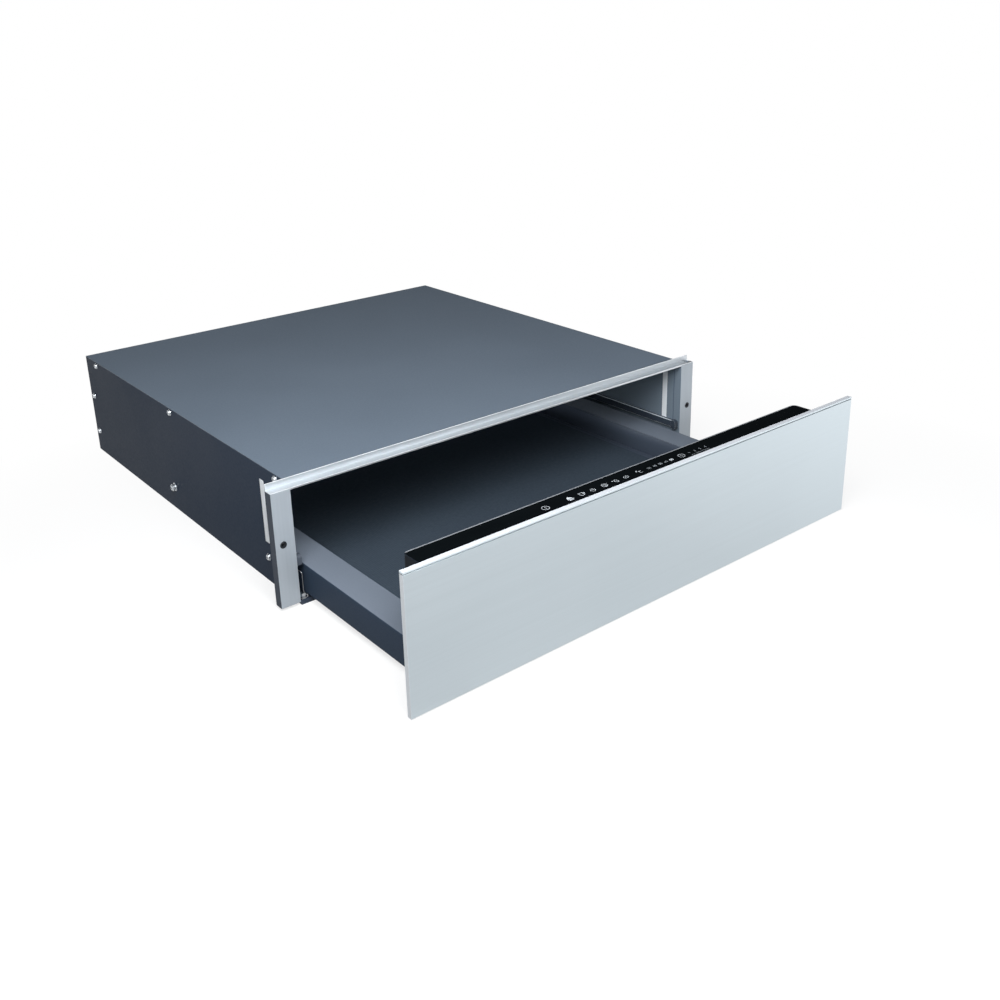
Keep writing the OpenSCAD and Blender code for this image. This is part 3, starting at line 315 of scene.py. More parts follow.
finish = {
    "housing": paint("housingPaint", (90, 101, 113), (97, 108, 120)),
    # A darker copy of the housing paint for its sides, rear and base: painted shade, as these faces get less
    # light than the top
    "housingSide": paint("housingPaintShadedSides", (36, 48, 65), (41, 54, 71), specular=0.06),
    # The inside paint is lighter than the dark enamel it stands for: painted light that brightens the shaded
    # interior
    "inside": paint("insidePaintLightened", (103, 115, 126), (111, 123, 134)),
    # Dark paint: on the stiles' outer folds it stands in for steel in shade, a painted shade; on the bottom
    # rail it is the rail's own dark paint
    "return": paint("darkPaintAndFoldShade", (46, 54, 67), (52, 61, 74), rough=(0.45, 0.6)),
    # A darker copy of the rim paint for the skirt's outer face: painted shade, as that face gets less light
    # than the rim's top
    "skirt": paint("rimPaintShadedSkirt", (46, 57, 72), (51, 63, 78), specular=0.06),
    "rim": paint("rimPaint", (99, 107, 118), (105, 113, 124), rough=(0.36, 0.5)),
    "tray": paint("trayPaint", (55, 63, 75), (60, 68, 80)),
    "box": paint("boxPaint", (20, 24, 29), (24, 29, 35), specular=0.06),
    # Paint for the left guide clip, toned down to offset the light its front catches: a painted shade
    "clip": paint("leftClipPaintedShade", (66, 72, 81), (72, 78, 87)),
    "core": paint("coreBoard", (150, 156, 162), (158, 163, 168), rough=(0.6, 0.75), size=700),
    "front": brushed("frontSteel", (0.72, 0.81, 0.865), (0.76, 0.85, 0.905), relief=0.03),
    "frame": brushed("frameSteel", (0.36, 0.40, 0.44), (0.41, 0.45, 0.49), "Z", (0.44, 0.54), 0.05, 0.45),
    "rail": brushed("railSteel", (0.66, 0.70, 0.735), (0.72, 0.76, 0.795), "X", (0.34, 0.44), 0.05, 0.85),
    # Near-white steel for rounded edges: a painted highlight along them
    "edge": brushed("edgeSteelPaintedHighlight", (0.80, 0.83, 0.86), (0.88, 0.90, 0.92), "X", (0.3, 0.4), 0.02, 0.4),
    # A darker, duller copy of the trim steel for the trim's top face: painted shade
    "trimTop": brushed("trimSteelShadedTop", (0.42, 0.44, 0.47), (0.49, 0.51, 0.54), rough=(0.5, 0.6), metal=0.1),
    "trim": brushed("trimSteel", (0.70, 0.78, 0.83), (0.74, 0.82, 0.87), "X", (0.3, 0.4), 0.04, 0.7),
    "bezel": brushed("bezelSteel", (0.56, 0.59, 0.63), (0.62, 0.65, 0.69), "X", (0.3, 0.4), 0.04, 0.7),
    "strip": brushed("stripSteel", (0.78, 0.81, 0.84), (0.84, 0.87, 0.89), "Z", (0.45, 0.55), metal=0.1),
    "wheel": brushed("fanAluminium", (0.66, 0.67, 0.68), (0.78, 0.79, 0.8), "Y", (0.35, 0.5)),
    "zinc": zinc("zincSteel", (0.50, 0.52, 0.54), (0.74, 0.76, 0.78)),
    "screw": zinc("screwZinc", (0.50, 0.53, 0.56), (0.72, 0.75, 0.78), 900, (0.26, 0.38)),
    "plate": zinc("plateSteel", (0.46, 0.47, 0.48), (0.64, 0.65, 0.66), 90),
    "ball": zinc("ballSteel", (0.72, 0.73, 0.75), (0.8, 0.81, 0.83), 600, (0.08, 0.14)),
    "black": plastic("blackPlastic", (26, 29, 34), (34, 37, 42)),
    "white": plastic("whitePlastic", (206, 206, 200), (219, 219, 213)),
    # Near-white plastic for the guides' rounded edges: a painted highlight along them
    "guideEdgePaintedHighlight": plastic("guideEdgePaintedHighlight", (206, 214, 222), (216, 224, 232)),
    "guide": plastic("guidePlastic", (40, 48, 58), (50, 58, 68), (0.45, 0.6)),
    "magnet": plastic("magnetFerrite", (46, 46, 48), (58, 58, 60), (0.5, 0.65)),
    "relay": plastic("relayBlue", (38, 62, 104), (48, 72, 114)),
    # Printed marks that glow faintly, a painted glow
    "ink": ink("paleInkPaintedGlow", (0.42, 0.45, 0.48), (0.50, 0.53, 0.56), 0.08),
    "dimInk": ink("dimInk", (0.20, 0.22, 0.24), (0.25, 0.27, 0.29), 0.02),
    # A fine net of pips over a matt body
    "mat": finishOf("matRubber", ((46, 55, 65), (58, 68, 78)), (0.15, 0.75), ("mean", ("noise", 9, 4), pips),
                    (("noise", 240, 3), 0.62, 0.78), (pips, 0.0002, 0.22), specular=0.2),
    # Black printed glass, with faint marks of handling in its gloss
    "glass": finishOf("blackGlass", ((0.0016, 0.0024, 0.003), (0.003, 0.0042, 0.005)), (0.2, 0.8), smears,
                      (smears, 0.05, 0.11), (("noise", 12, 1), 0.00002, 0.05), specular=0.22),
    # Solder mask with tracks that show through it
    "board": finishOf("circuitBoard", ((24, 82, 48), (24, 82, 48), (96, 138, 70), (96, 138, 70)),
                      (0.0, 0.32, 0.36, 0.6), tracks, (tracks, 0.3, 0.45), (tracks, 0.00008, 0.3),
                      specular=0.45),
    "copper": finishOf("windingCopper", ((0.38, 0.12, 0.05), (0.72, 0.3, 0.14)), (0.25, 0.7),
                       ("mean", turns, ("noise", 300, 2)), (("noise", 700, 2), 0.25, 0.4),
                       (turns, 0.00015, 0.5), 0.85),
    "stack": finishOf("stackSteel", ((0.18, 0.19, 0.21), (0.34, 0.35, 0.38)), (0.3, 0.7),
                      ("mean", sheets, ("noise", 60, 3)), (("noise", 200, 3), 0.35, 0.55),
                      (sheets, 0.00012, 0.45), 0.9),
    # Tinted by its own heat
    "tube": finishOf("heaterTube", ((0.16, 0.14, 0.13), (0.26, 0.2, 0.16), (0.34, 0.27, 0.18)),
                     (0.3, 0.52, 0.7), ("noise", 45, 4), (("noise", 500, 3), 0.35, 0.6),
                     (("noise", 1200, 2), 0.00004, 0.2), 0.75),
    "felt": finishOf("insulationFelt", ((0.45, 0.42, 0.34), (0.66, 0.62, 0.52)), (0.35, 0.65), hairs, 0.95,
                     (hairs, 0.0004, 0.7), specular=0.1, more={"Sheen Weight": 0.2}),
    "braid": finishOf("sleeveBraid", ((0.34, 0.31, 0.26), (0.6, 0.56, 0.48)), (0.25, 0.7),
                      ("mean", weave, ("noise", 300, 2)), 0.7, (weave, 0.0003, 0.6), specular=0.25),
}
print("finishes made:", len(finish))


# Making meshes. A built piece is made in millimetres; a node's own mesh is in metres

# Points closer than merge are joined, and so are faces that differ by less than flat degrees. Edges sharper
# than sharp degrees are rounded
meshLook = {"merge": 0.002, "flat": 0.6, "sharp": 35, "segments": 2}


def boxOf(node):
    return [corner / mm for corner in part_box(node)]


def block(bm, low, high):
    corners = [(x, y, z) for x in (low[0], high[0]) for y in (low[1], high[1]) for z in (low[2], high[2])]
    points = [bm.verts.new(c) for c in corners]
    for ring in ((0, 1, 3, 2), (4, 6, 7, 5), (0, 4, 5, 1), (2, 3, 7, 6), (0, 2, 6, 4), (1, 5, 7, 3)):
        bm.faces.new([points[i] for i in ring])


def sideBlock(bm, side, low, high):
    # A block given for the right side
    x0, x1 = sorted((side * low[0], side * high[0]))
    block(bm, (x0, *low[1:]), (x1, *high[1:]))


def circle(centre, side, other, radius, count):
    return [centre + (side * math.cos(a) + other * math.sin(a)) * radius
            for a in (2 * math.pi * i / count for i in range(count))]


def turned(bm, start, along, rings, count=32, loop=False):
    # A turned piece: rings are (distance along the axis, radius); a loop closes on itself, as a washer does
    axis = Vector(along).normalized()
    side = axis.orthogonal().normalized()
    made = []
    for distance, radius in rings:
        centre = Vector(start) + axis * distance
        points = circle(centre, side, axis.cross(side), radius, count) if radius else [centre]
        made.append([bm.verts.new(p) for p in points])
    for a, b in zip(made, made[1:] + (made[:1] if loop else [])):
        for i in range(count):
            j = (i + 1) % count
            corners = [a[i % len(a)], a[j % len(a)], b[j % len(b)], b[i % len(b)]]
            kept = [v for n, v in enumerate(corners) if v not in corners[:n]]
            if len(kept) > 2:
                bm.faces.new(kept)
    for ring in (made[0], made[-1]):
        if len(ring) > 2 and not loop:
            bm.faces.new(ring)


def prism(bm, outline, place, start, end):
    # A flat outline of (u, v) pushed from start to end; place turns (u, v, s) into a point
    first = [bm.verts.new(place(u, v, start)) for u, v in outline]
    last = [bm.verts.new(place(u, v, end)) for u, v in outline]
    bm.faces.new(first)
    bm.faces.new(last[::-1])
    for i in range(len(outline)):
        bm.faces.new([first[i - 1], last[i - 1], last[i], first[i]])


def rounded(points, radii, steps=5):
    # An open line with each inner corner replaced by an arc
    out = [points[0]]
    for before, corner, after, radius in zip(points, points[1:], points[2:], radii):
        back = (before - corner).normalized()
        ahead = (after - corner).normalized()
        half = back.angle(ahead) / 2
        reach = radius / math.tan(half)
        centre = corner + (back + ahead).normalized() * radius / math.sin(half)
        start = corner + back * reach - centre
        turn = start.angle_signed(corner + ahead * reach - centre) if radius > 1e-4 else 0
        out += [centre + Matrix.Rotation(-turn * i / steps, 2) @ start for i in range(steps + 1)]
    return out + [points[-1]]


def sheetOutline(points, thick, bend):
    # Outline of a bent sheet: the points are its one side, the sheet lies to the left of them
    flat = [Vector(p) for p in points]
    ways = [(b - a).normalized() for a, b in zip(flat, flat[1:])]
    lefts = [Vector((-w.y, w.x)) for w in ways]
    other = [flat[0] + lefts[0] * thick]
    near, far = [], []
    for i in range(1, len(flat) - 1):
        mean = (lefts[i - 1] + lefts[i]).normalized()
        other.append(flat[i] + mean * thick / mean.dot(lefts[i]))
        toLeft = ways[i - 1].cross(ways[i]) > 0
        near.append(bend + thick if toLeft else bend)
        far.append(bend if toLeft else bend + thick)
    other.append(flat[-1] + lefts[-1] * thick)
    return rounded(flat, near) + rounded(other, far)[::-1]


def folded(bm, side, points, thick, bend, span):
    # A bent sheet that runs along Y, its outline given for the right side
    prism(bm, sheetOutline(points, thick, bend), lambda u, v, s: (side * u, s, v), *span)


def tube(bm, points, radius, count=10, closed=False):
    # A round tube along a line of points
    line = [Vector(p) for p in points]
    last = len(line) - 1
    rings = []
    side = None
    for i, p in enumerate(line):
        ahead = line[(i + 1) % len(line)] if closed or i < last else p
        back = line[i - 1] if closed or i else p
        way = (ahead - back).normalized()
        side = way.orthogonal() if side is None else side - way * side.dot(way)
        side.normalize()
        rings.append([bm.verts.new(q) for q in circle(p, side, way.cross(side), radius, count)])
    for a, b in zip(rings, rings[1:] + (rings[:1] if closed else [])):
        for k in range(count):
            bm.faces.new([a[k - 1], a[k], b[k], b[k - 1]])
    if not closed:
        bm.faces.new(rings[0][::-1])
        bm.faces.new(rings[-1])


def cutOut(bm, cutter):
    # Takes the shape of one closed mesh out of another
    made = []
    for part in (bm, cutter):
        mesh = bpy.data.meshes.new("part")
        bmesh.ops.recalc_face_normals(part, faces=part.faces)
        part.to_mesh(mesh)
        part.free()
        made.append(linked("part", mesh))
    cut = made[0].modifiers.new("cut", "BOOLEAN")
    cut.object = made[1]
    cut.solver = "EXACT"
    result = bmesh.new()
    result.from_mesh(made[0].evaluated_get(bpy.context.evaluated_depsgraph_get()).to_mesh())
    for thing in made:
        bpy.data.objects.remove(thing)
    return result


def addPlaced(target, source, matrix):
    mesh = bpy.data.meshes.new("copy")
    source.to_mesh(mesh)
    mesh.transform(matrix)
    target.from_mesh(mesh)
    bpy.data.meshes.remove(mesh)


def weighEdges(bm, bevel, widthOf):
    # The width that each sharp edge is rounded by, kept as a share of the widest
    layer = bm.edges.layers.float.new("bevel_weight_edge")
    widths = {}
    for edge in bm.edges:
        if len(edge.link_faces) == 2 and edge.calc_face_angle(0) >= math.radians(meshLook["sharp"]):
            width = bevel if edge.is_convex else 0
            widths[edge] = widthOf(edge, width) if widthOf else width
    widest = max(widths.values(), default=0)
    for edge, width in widths.items():
        if width:
            edge[layer] = width / widest
    return widest


def newPiece(name, bm, node, finishes, bevel=0, widthOf=None, stands=True, sharp=32, edgeFinish=None,
             slot=None):
    # A piece rides with its node's body. It stands for the node, unless it is only an
    # addition. The bevel's width is in millimetres
    bmesh.ops.recalc_face_normals(bm, faces=bm.faces)
    widest = weighEdges(bm, bevel, widthOf) if bevel else 0
    mesh = bpy.data.meshes.new(name)
    bm.to_mesh(mesh)
    bm.free()
    mesh.polygons.foreach_set("use_smooth", [True] * len(mesh.polygons))
    mesh.set_sharp_from_angle(angle=math.radians(sharp))
    for key in finishes.split():
        mesh.materials.append(finish[key])
    piece = linked(name, mesh)
    if widest:
        edges = piece.modifiers.new("edges", "BEVEL")
        edges.limit_method = "WEIGHT"
        edges.width = widest * mm
        edges.segments = meshLook["segments"]
        edges.harden_normals = True
        if edgeFinish:
            mesh.materials.append(finish[edgeFinish])
            edges.material = len(mesh.materials) - 1
    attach(piece, bodyOf[node])
    slot or slotOf[node]
    if stands:
        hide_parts(node)


def built(name, bm, *rest, **more):
    bm.transform(Matrix.Scale(mm, 4))
    newPiece(name, bm, *rest, **more)


def nodeMesh(node):
    bm = bmesh.new()
    bm.from_mesh(frame["nodes"][node].data)
    bmesh.ops.remove_doubles(bm, verts=bm.verts, dist=meshLook["merge"] * mm)
    flat = math.radians(meshLook["flat"])
    bmesh.ops.dissolve_limit(bm, angle_limit=flat, verts=bm.verts, edges=bm.edges)
    bmesh.ops.recalc_face_normals(bm, faces=bm.faces)
    return bm


def dressed(node, name, finishes, bevel, widthOf=None, paintBy=None, edgeFinish=None):
    # The node's own shape with rounded edges, for pieces whose form is already right
    bm = nodeMesh(node)
    if paintBy:
        for face in bm.faces:
            face.material_index = paintBy(face)
    newPiece(name, bm, node, finishes, bevel, widthOf, edgeFinish=edgeFinish)


def dressAll(pieces):
    for node, row in pieces.items():
        dressed(node, *row)


def liesAt(edge, axis, place):
    return all(abs(v.co[axis] - place) < 1e-5 for v in edge.verts)


# Housing

housingLook = {"edge": 0.45, "foldEdge": 0.25}
housingRest = {
    # The rear panel takes the shaded copy of the housing paint, a painted shade
    "rear_panel": ("rearPanel", "housingSide", 0.25),
    "insulation": ("insulationFelt", "felt", 1.2),
    # The ceiling liner takes the lightened inside paint, a painted light
    "ceiling_liner": ("ceilingLiner", "inside", 0.2),
}


def makeHousing(h):
    dressed("top_cover", "topCover", "housing", h["edge"])
    # The side panels' outer faces take the shaded copy of the housing paint, a painted shade, and their
    # inner faces the lightened inside paint, a painted light
    for side, word in sides[::-1]:
        dressed("side_panel_" + word, word + "SidePanel", "housingSide inside", h["foldEdge"],
                paintBy=lambda face: face.normal.x * side <= -0.5)
    # The base pan's upper faces take the lightened inside paint, a painted light, and its other faces the
    # shaded copy of the housing paint, a painted shade
    dressed("base_pan", "basePan", "housingSide inside", h["foldEdge"],
            paintBy=lambda face: face.normal.z >= 0.5)


# Raised lips round the rear cooling slots
ventLook = {"count": 7, "pitch": 8.0, "height": 3.0, "first": 39.3, "middle": 90.0, "width": 60.0,
            "wide": 0.9, "rise": 0.45, "edge": 0.18}


def makeVentLips(v):
    back = boxOf("rear_panel")[1].y
    wide = v["wide"]
    bm = bmesh.new()
    for side in (-1, 1):
        for i in range(v["count"]):
            z0 = v["first"] + i * v["pitch"]
            z1 = z0 + v["height"]
            x0 = side * v["middle"] - v["width"] / 2
            x1 = x0 + v["width"]
            for a, low, b, high in (
                (x0 - wide, z1, x1 + wide, z1 + wide), (x0 - wide, z0 - wide, x1 + wide, z0),
                (x0 - wide, z0, x0, z1), (x1, z0, x1 + wide, z1),
            ):
                block(bm, (a, back, low), (b, back + v["rise"], high))
    # The lips take the shaded copy of the housing paint, a painted shade
    built("ventLips", bm, "rear_panel", "housingSide", v["edge"], stands=False)


# A head is its radius and rise, then the half length, width and depth of its cross recess; rings are
# (height, radius)
screwLook = {
    "places": [(19, 125.5), (268, 125.5), (500, 125.5), (525, 78.6), (525, 29), (50, 29)],
    "head": (3.2, 2.1, 1.9, 0.85, 1.2), "washer": [(0, 3.8), (0.4, 3.686)], "sink": 0.05, "shank": 1.9,
    "tip": (1.2, 1.33), "sheet": 0.8, "stud": (281.4, 29), "studHead": (3.22, 1.6, 2.2, 1.0, 1.0),
    "studRings": [(0, 5.0), (0.5, 5.0), (0.6, 3.6), (2.0, 3.6), (2.1, 4.3), (3.4, 4.3), (3.7, 4.0)],
}


def panHead(radius, rise, half, wide, deep):
    # Pan head, turned about Z, with its cross recess
    bm, cross = bmesh.new(), bmesh.new()
    domeShares = [(0, 0.97), (0.12, 1), (0.42, 1), (0.72, 0.9), (0.9, 0.68), (0.98, 0.38), (1, 0)]
    turned(bm, (0, 0, 0), (0, 0, 1), [(rise * up, radius * out) for up, out in domeShares], 28)
    w = wide / 2
    outline = [(-half, -w), (-w, -w), (-w, -half), (w, -half), (w, -w), (half, -w),
               (half, w), (w, w), (w, half), (-w, half), (-w, w), (-half, w)]
    prism(cross, outline, lambda u, v, s: (u, v, s), rise - deep, rise + 1)
    return cutOut(bm, cross)


def makeHousingScrews(s):
    head, studHead = panHead(*s["head"]), panHead(*s["studHead"])
    outer = boxOf("side_panel_right")[1].x
    inner = boxOf("base_pan")[1].x - s["sheet"]
    bm = bmesh.new()

    def seated(piece, side, y, z, height):
        # Turns a head that stands on Z so that it stands on the housing's side
        place = Matrix.Translation((side * (outer + height), y, z))
        addPlaced(bm, piece, place @ Matrix.Rotation(side * math.pi / 2, 4, "Y"))

    for side in (-1, 1):
        for y, z in s["places"]:
            seated(head, side, y, z, s["washer"][1][0] - s["sink"])
            turned(bm, (side * outer, y, z), (side, 0, 0), s["washer"])
            tipLong, tipRadius = s["tip"]
            turned(bm, (side * inner, y, z), (side, 0, 0),
                   [(-tipLong, tipRadius), (0, s["shank"]), (outer - inner, s["shank"])], 16)
        turned(bm, (side * outer, *s["stud"]), (side, 0, 0), s["studRings"], 36)
        seated(studHead, side, *s["stud"], s["studRings"][-1][0] - s["sink"])
    head.free()
    studHead.free()
    built("housingScrews", bm, "housing_screws", "screw", sharp=28)


makeHousing(housingLook)
dressAll(housingRest)
makeVentLips(ventLook)
makeHousingScrews(screwLook)
print("housing made")


# Front frame

frameLook = {"corner": 0.9, "edge": 0.3, "railEdge": 0.4, "lowRailEdge": 0.25, "longFold": 50}


def makeFrame(f):
    low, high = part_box("frame_stile_right")

    def widthOf(edge, width):
        # The long outer fold at the frame's side is the wide one
        a, b = (v.co for v in edge.verts)
        onFold = liesAt(edge, 0, high.x) or liesAt(edge, 0, -high.x)
        long = abs(a.z - b.z) > f["longFold"] * mm
        return f["corner"] if onFold and long and liesAt(edge, 1, low.y) else width

    for side, word in sides[::-1]:
        # Each stile's outer fold takes the dark paint in place of its steel, a painted shade, and its inner
        # fold the lightened inside paint, a painted light
        dressed("frame_stile_" + word, word + "Stile", "frame return inside", f["edge"], widthOf,
                lambda face: 1 if face.normal.x * side > 0.5 else 2 if face.normal.x * side < -0.5 else 0)
    # The top rail's rounded edges take the bright edge finish, a painted highlight
    dressed("top_rail", "topRail", "rail", f["railEdge"], edgeFinish="edge")
    dressed("bottom_rail", "bottomRail", "return", f["lowRailEdge"])


# Plastic bushes in the two fixing holes
bushLook = {"x": 285.5, "z": 70.5, "rings": [(6.0, 1.9), (-0.15, 1.9), (-0.25, 2.185), (-0.25, 3.33),
                                            (-0.02, 3.7), (-0.02, 2.55), (6.0, 2.55)]}


def makeBushes(b):
    front = boxOf("frame_stile_right")[0].y
    bm = bmesh.new()
    for side in (-1, 1):
        turned(bm, (side * b["x"], front, b["z"]), (0, 1, 0), b["rings"], 36, loop=True)
    built("holeBushes", bm, "cable_gland", "black", stands=False)


stripLook = {"edge": 0.3, "guideEdgePaintedHighlight": 0.6}
# The left clip takes a paint toned down against the light its front catches, a painted shade; the right clip
# is dark plastic whose edges carry a painted highlight
clipLook = {"edge": 0.6, "right": ("guide", "guideEdgePaintedHighlight"), "left": ("clip", None)}


def makeStrips(s):
    dressed("slot_strips", "slotStrips", "strip", s["edge"])
    # The guide strips' rounded edges take the near-white edge finish, a painted highlight
    dressed("guide_strips", "guideStrips", "guide", s["guideEdgePaintedHighlight"], edgeFinish="guideEdgePaintedHighlight")


def makeClips(c):
    for side, word in sides:
        bm = nodeMesh("guide_clips")
        bmesh.ops.delete(bm, geom=[v for v in bm.verts if v.co.x * side < 0], context="VERTS")
        main, edge = c[word]
        newPiece(word + "GuideClip", bm, "guide_clips", main, c["edge"], edgeFinish=edge)


makeFrame(frameLook)
makeBushes(bushLook)
makeStrips(stripLook)
makeClips(clipLook)
print("frame made")


# Slides

# For each part, whether its web is on the outer side, and its bend
slideLook = {"sheet": 1.2, "edge": 0.18,
             "parts": {"outer": (True, 1.1), "middle": (True, 1.1), "inner": (False, 0.8)}}
bracketLook = {"sheet": 1.5, "edge": 0.18, "rivetIn": 9, "rivetFromEnd": 30,
               "rivet": [(-0.05, 3.6), (0.5, 3.6), (1.1, 3.0), (1.4, 1.6), (1.5, 0)]}


def spanOf(node, side):
    # A node's box, and how far its near and far side are from the middle
    low, high = boxOf(node)
    return low, high, *((low.x, high.x) if side > 0 else (-high.x, -low.x))


def makeSlides(s, side, word):
    for part, (webOutside, bend) in s["parts"].items():
        node = "slide_%s_%s" % (part, word)
        low, high, near, far = spanOf(node, side)
        back, tip = (far, near) if webOutside else (near, far)
        path = [(tip, high.z), (back, high.z), (back, low.z), (tip, low.z)]
        bm = bmesh.new()
        folded(bm, side, path[::-1] if webOutside else path, s["sheet"], bend, (low.y, high.y))
        built(word + part.capitalize() + "Slide", bm, node, "zinc", s["edge"])
    for cage in ("outer_cage_", "inner_cage_"):
        materials = frame["nodes"][cage + word].data.materials
        materials.clear()
        materials.append(finish["ball"])


def makeBracket(b, side, word):
    node = "slide_bracket_" + word
    low, high, near, far = spanOf(node, side)
    bm = bmesh.new()
    folded(bm, side, [(far, low.z), (near, low.z), (near, high.z)], -b["sheet"], b["sheet"], (low.y, high.y))
    built(word + "SlideBracket", bm, node, "zinc", b["edge"])
    bm = bmesh.new()
    for y in (low.y + b["rivetFromEnd"], (low.y + high.y) / 2, high.y - b["rivetFromEnd"]):
        turned(bm, (side * (near + b["rivetIn"]), y, low.z + b["sheet"]), (0, 0, 1), b["rivet"], 24)
    built(word + "BracketRivets", bm, node, "screw", stands=False)


# Spring catch in the gap beside the drawer: a tab on the bottom rail, a bent wire and its upright feeler
catchLook = {
    "wire": 0.36, "edge": 0.2, "tab": ((265.4, -7.6, 1.8), (269.4, -6.8, 9.5)),
    "feeler": [(269.5, -3.0, 2.4), (268.4, -5.5, 3.6), (267.0, -7.6, 6.6), (266.6, -6.6, 10.5),
               (266.6, -6.0, 13), (266.6, -6.0, 17), (266.6, -6.0, 26), (266.6, -6.0, 30),
               (266.9, -4.6, 32.4), (268.4, -0.6, 33.0), (270.6, 4.6, 33.0)],
    "hook": [(268.6, -8.2, 4.4), (266.8, -9.2, 5.4), (265.6, -10.9, 6.6), (265.5, -12.0, 8.4),
             (266.0, -11.2, 10.0)],
}


def smoothed(points, steps=6):
    # A smooth line through the points
    flat = [Vector(q) for q in points]
    out = []
    for p0, p1, p2, p3 in zip(flat[:1] + flat, flat, flat[1:], flat[2:] + flat[-1:]):
        for s in (k / steps for k in range(steps)):
            out.append(0.5 * ((2 * p1) + (p2 - p0) * s + (2 * p0 - 5 * p1 + 4 * p2 - p3) * s * s
                              + (3 * p1 - p0 - 3 * p2 + p3) * s ** 3))
    return out + [flat[-1]]


def makeCatch(c, side, word):
    bm = bmesh.new()
    for line in (c["feeler"], c["hook"]):
        tube(bm, [(side * q.x, q.y, q.z) for q in smoothed(line)], c["wire"])
    sideBlock(bm, side, *c["tab"])
    built(word + "SlideCatch", bm, "slide_bracket_" + word, "zinc", c["edge"], stands=False)


for side, word in sides:
    makeSlides(slideLook, side, word)
    makeBracket(bracketLook, side, word)
for side, word in sides:
    makeCatch(catchLook, side, word)
print("slides made")


# Drawer

panelLook = {"corner": 0.7, "edge": 0.3, "coreEdge": 0.3, "trimEdge": 0.3}


def makeFrontPlate(p):
    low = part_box("front_skin")[0]

    def widthOf(edge, width):
        # Edges of the visible face are the softer ones
        return p["corner"] if liesAt(edge, 1, low.y) else width

    dressed("front_skin", "frontPlate", "front rail", p["edge"], widthOf,
            lambda face: abs(face.normal.x) > 0.5)
    dressed("front_core", "frontCore", "core", p["coreEdge"])
    # The trim's top face takes the shaded copy of its steel, a painted shade
    dressed("top_trim", "topTrim", "trim trimTop", p["trimEdge"], paintBy=lambda face: face.normal.z > 0.5)


# The skirt runs on over the box's rounded rear corner, which is the lap
rimLook = {"sheet": 1.0, "bend": 1.2, "edge": 0.3, "nose": 0.8, "traySheet": 0.8, "lap": 3.2,
           "lapBelow": 0.2, "skirtDeep": 2}


def makeRim(r, side, word):
    node = "side_rim_" + word
    low, high, near, far = spanOf(node, side)
    legX = near + r["nose"]
    path = [(legX, boxOf("tray_pan")[0].z + r["traySheet"]), (legX, high.z), (far, high.z), (far, low.z)]
    bm = bmesh.new()
    folded(bm, side, path, -r["sheet"], r["bend"], (low.y, high.y))
    sideBlock(bm, side, (near, low.y, high.z - r["sheet"]), (legX + r["bend"], high.y, high.z))
    sideBlock(bm, side, (far - r["sheet"], low.y - r["lap"], low.z), (far, low.y, high.z - r["lapBelow"]))
    bmesh.ops.recalc_face_normals(bm, faces=bm.faces)
    # The skirt's outer faces take the shaded copy of the rim paint, a painted shade
    for face in bm.faces:
        onSkirt = abs(face.calc_center_median().x) > far - r["skirtDeep"]
        face.material_index = onSkirt and face.normal.x * side > 0.7
    built(word + "Rim", bm, node, "rim skirt", r["edge"])


trayLook = {"edge": 0.28, "corner": 2.4, "sheet": 0.8, "longFold": 200}
trayRest = {
    "anti_slip_mat": ("antiSlipMat", "mat", 0.7),
    "latch_striker": ("latchStriker", "zinc", 0.3),
    "switch_magnet": ("switchMagnet", "magnet", 0.3),
}


def makeTray(t):
    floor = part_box("tray_pan")[0].z + t["sheet"] * 1.5 * mm

    def widthOf(edge, width):
        # The long folds between the floor and the walls are wide, inside and outside
        a, b = (v.co for v in edge.verts)
        if max(a.z, b.z) < floor and (a - b).length > t["longFold"] * mm:
            return t["corner"] if edge.is_convex else t["corner"] - t["sheet"]
        return width

    dressed("tray_pan", "trayPan", "tray", t["edge"], widthOf)


trayScrewLook = {"head": (3.2, 1.7, 1.6, 0.8, 1.0), "shank": [(0, 1.2), (0.6, 1.7)], "sheet": 0.8,
                 "placeShares": (-0.8, -0.3, 0.3, 0.8)}


def makeTrayScrews(s):
    low, high = boxOf("tray_screws")
    z = (low.z + high.z) / 2
    rise = s["head"][1]
    face = high.y - rise
    half = boxOf("tray_pan")[1].x - s["sheet"]
    head = panHead(*s["head"])
    bm = bmesh.new()
    for share in s["placeShares"]:
        x = half * share
        addPlaced(bm, head, Matrix.Translation((x, face, z)) @ Matrix.Rotation(-math.pi / 2, 4, "X"))
        turned(bm, (x, low.y, z), (0, 1, 0), s["shank"] + [(face - low.y, s["shank"][-1][1])], 16)
    head.free()
    built("trayScrews", bm, "tray_screws", "screw", sharp=28)


boxLook = {"edge": 0.6, "glassEdge": 0.15, "bezelEdge": 0.2, "boardEdge": 0.1, "bezelPast": 0.01}


def makeControlBox(b):
    dressed("control_box", "controlBox", "box", b["edge"])
    dressed("touch_glass", "touchGlass", "glass", b["glassEdge"])
    # Only the rear run of the bezel's top takes the bright metal finish; its other faces take the box's dark
    # paint
    bm = nodeMesh("glass_bezel")
    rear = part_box("touch_glass")[1].y - b["bezelPast"] * mm
    everything = bm.verts[:] + bm.edges[:] + bm.faces[:]
    bmesh.ops.bisect_plane(bm, geom=everything, plane_co=(0, rear, 0), plane_no=(0, 1, 0))
    for face in bm.faces:
        face.material_index = not (face.normal.z > 0.5 and face.calc_center_median().y > rear)
    newPiece("glassBezel", bm, "glass_bezel", "bezel box", b["bezelEdge"])
    dressed("touch_board", "touchBoard", "board", b["boardEdge"])


makeFrontPlate(panelLook)
for side, word in sides:
    makeRim(rimLook, side, word)
makeTray(trayLook)
dressAll(trayRest)
makeTrayScrews(trayScrewLook)
makeControlBox(boxLook)
print("drawer made")


# Printed symbols on the glass

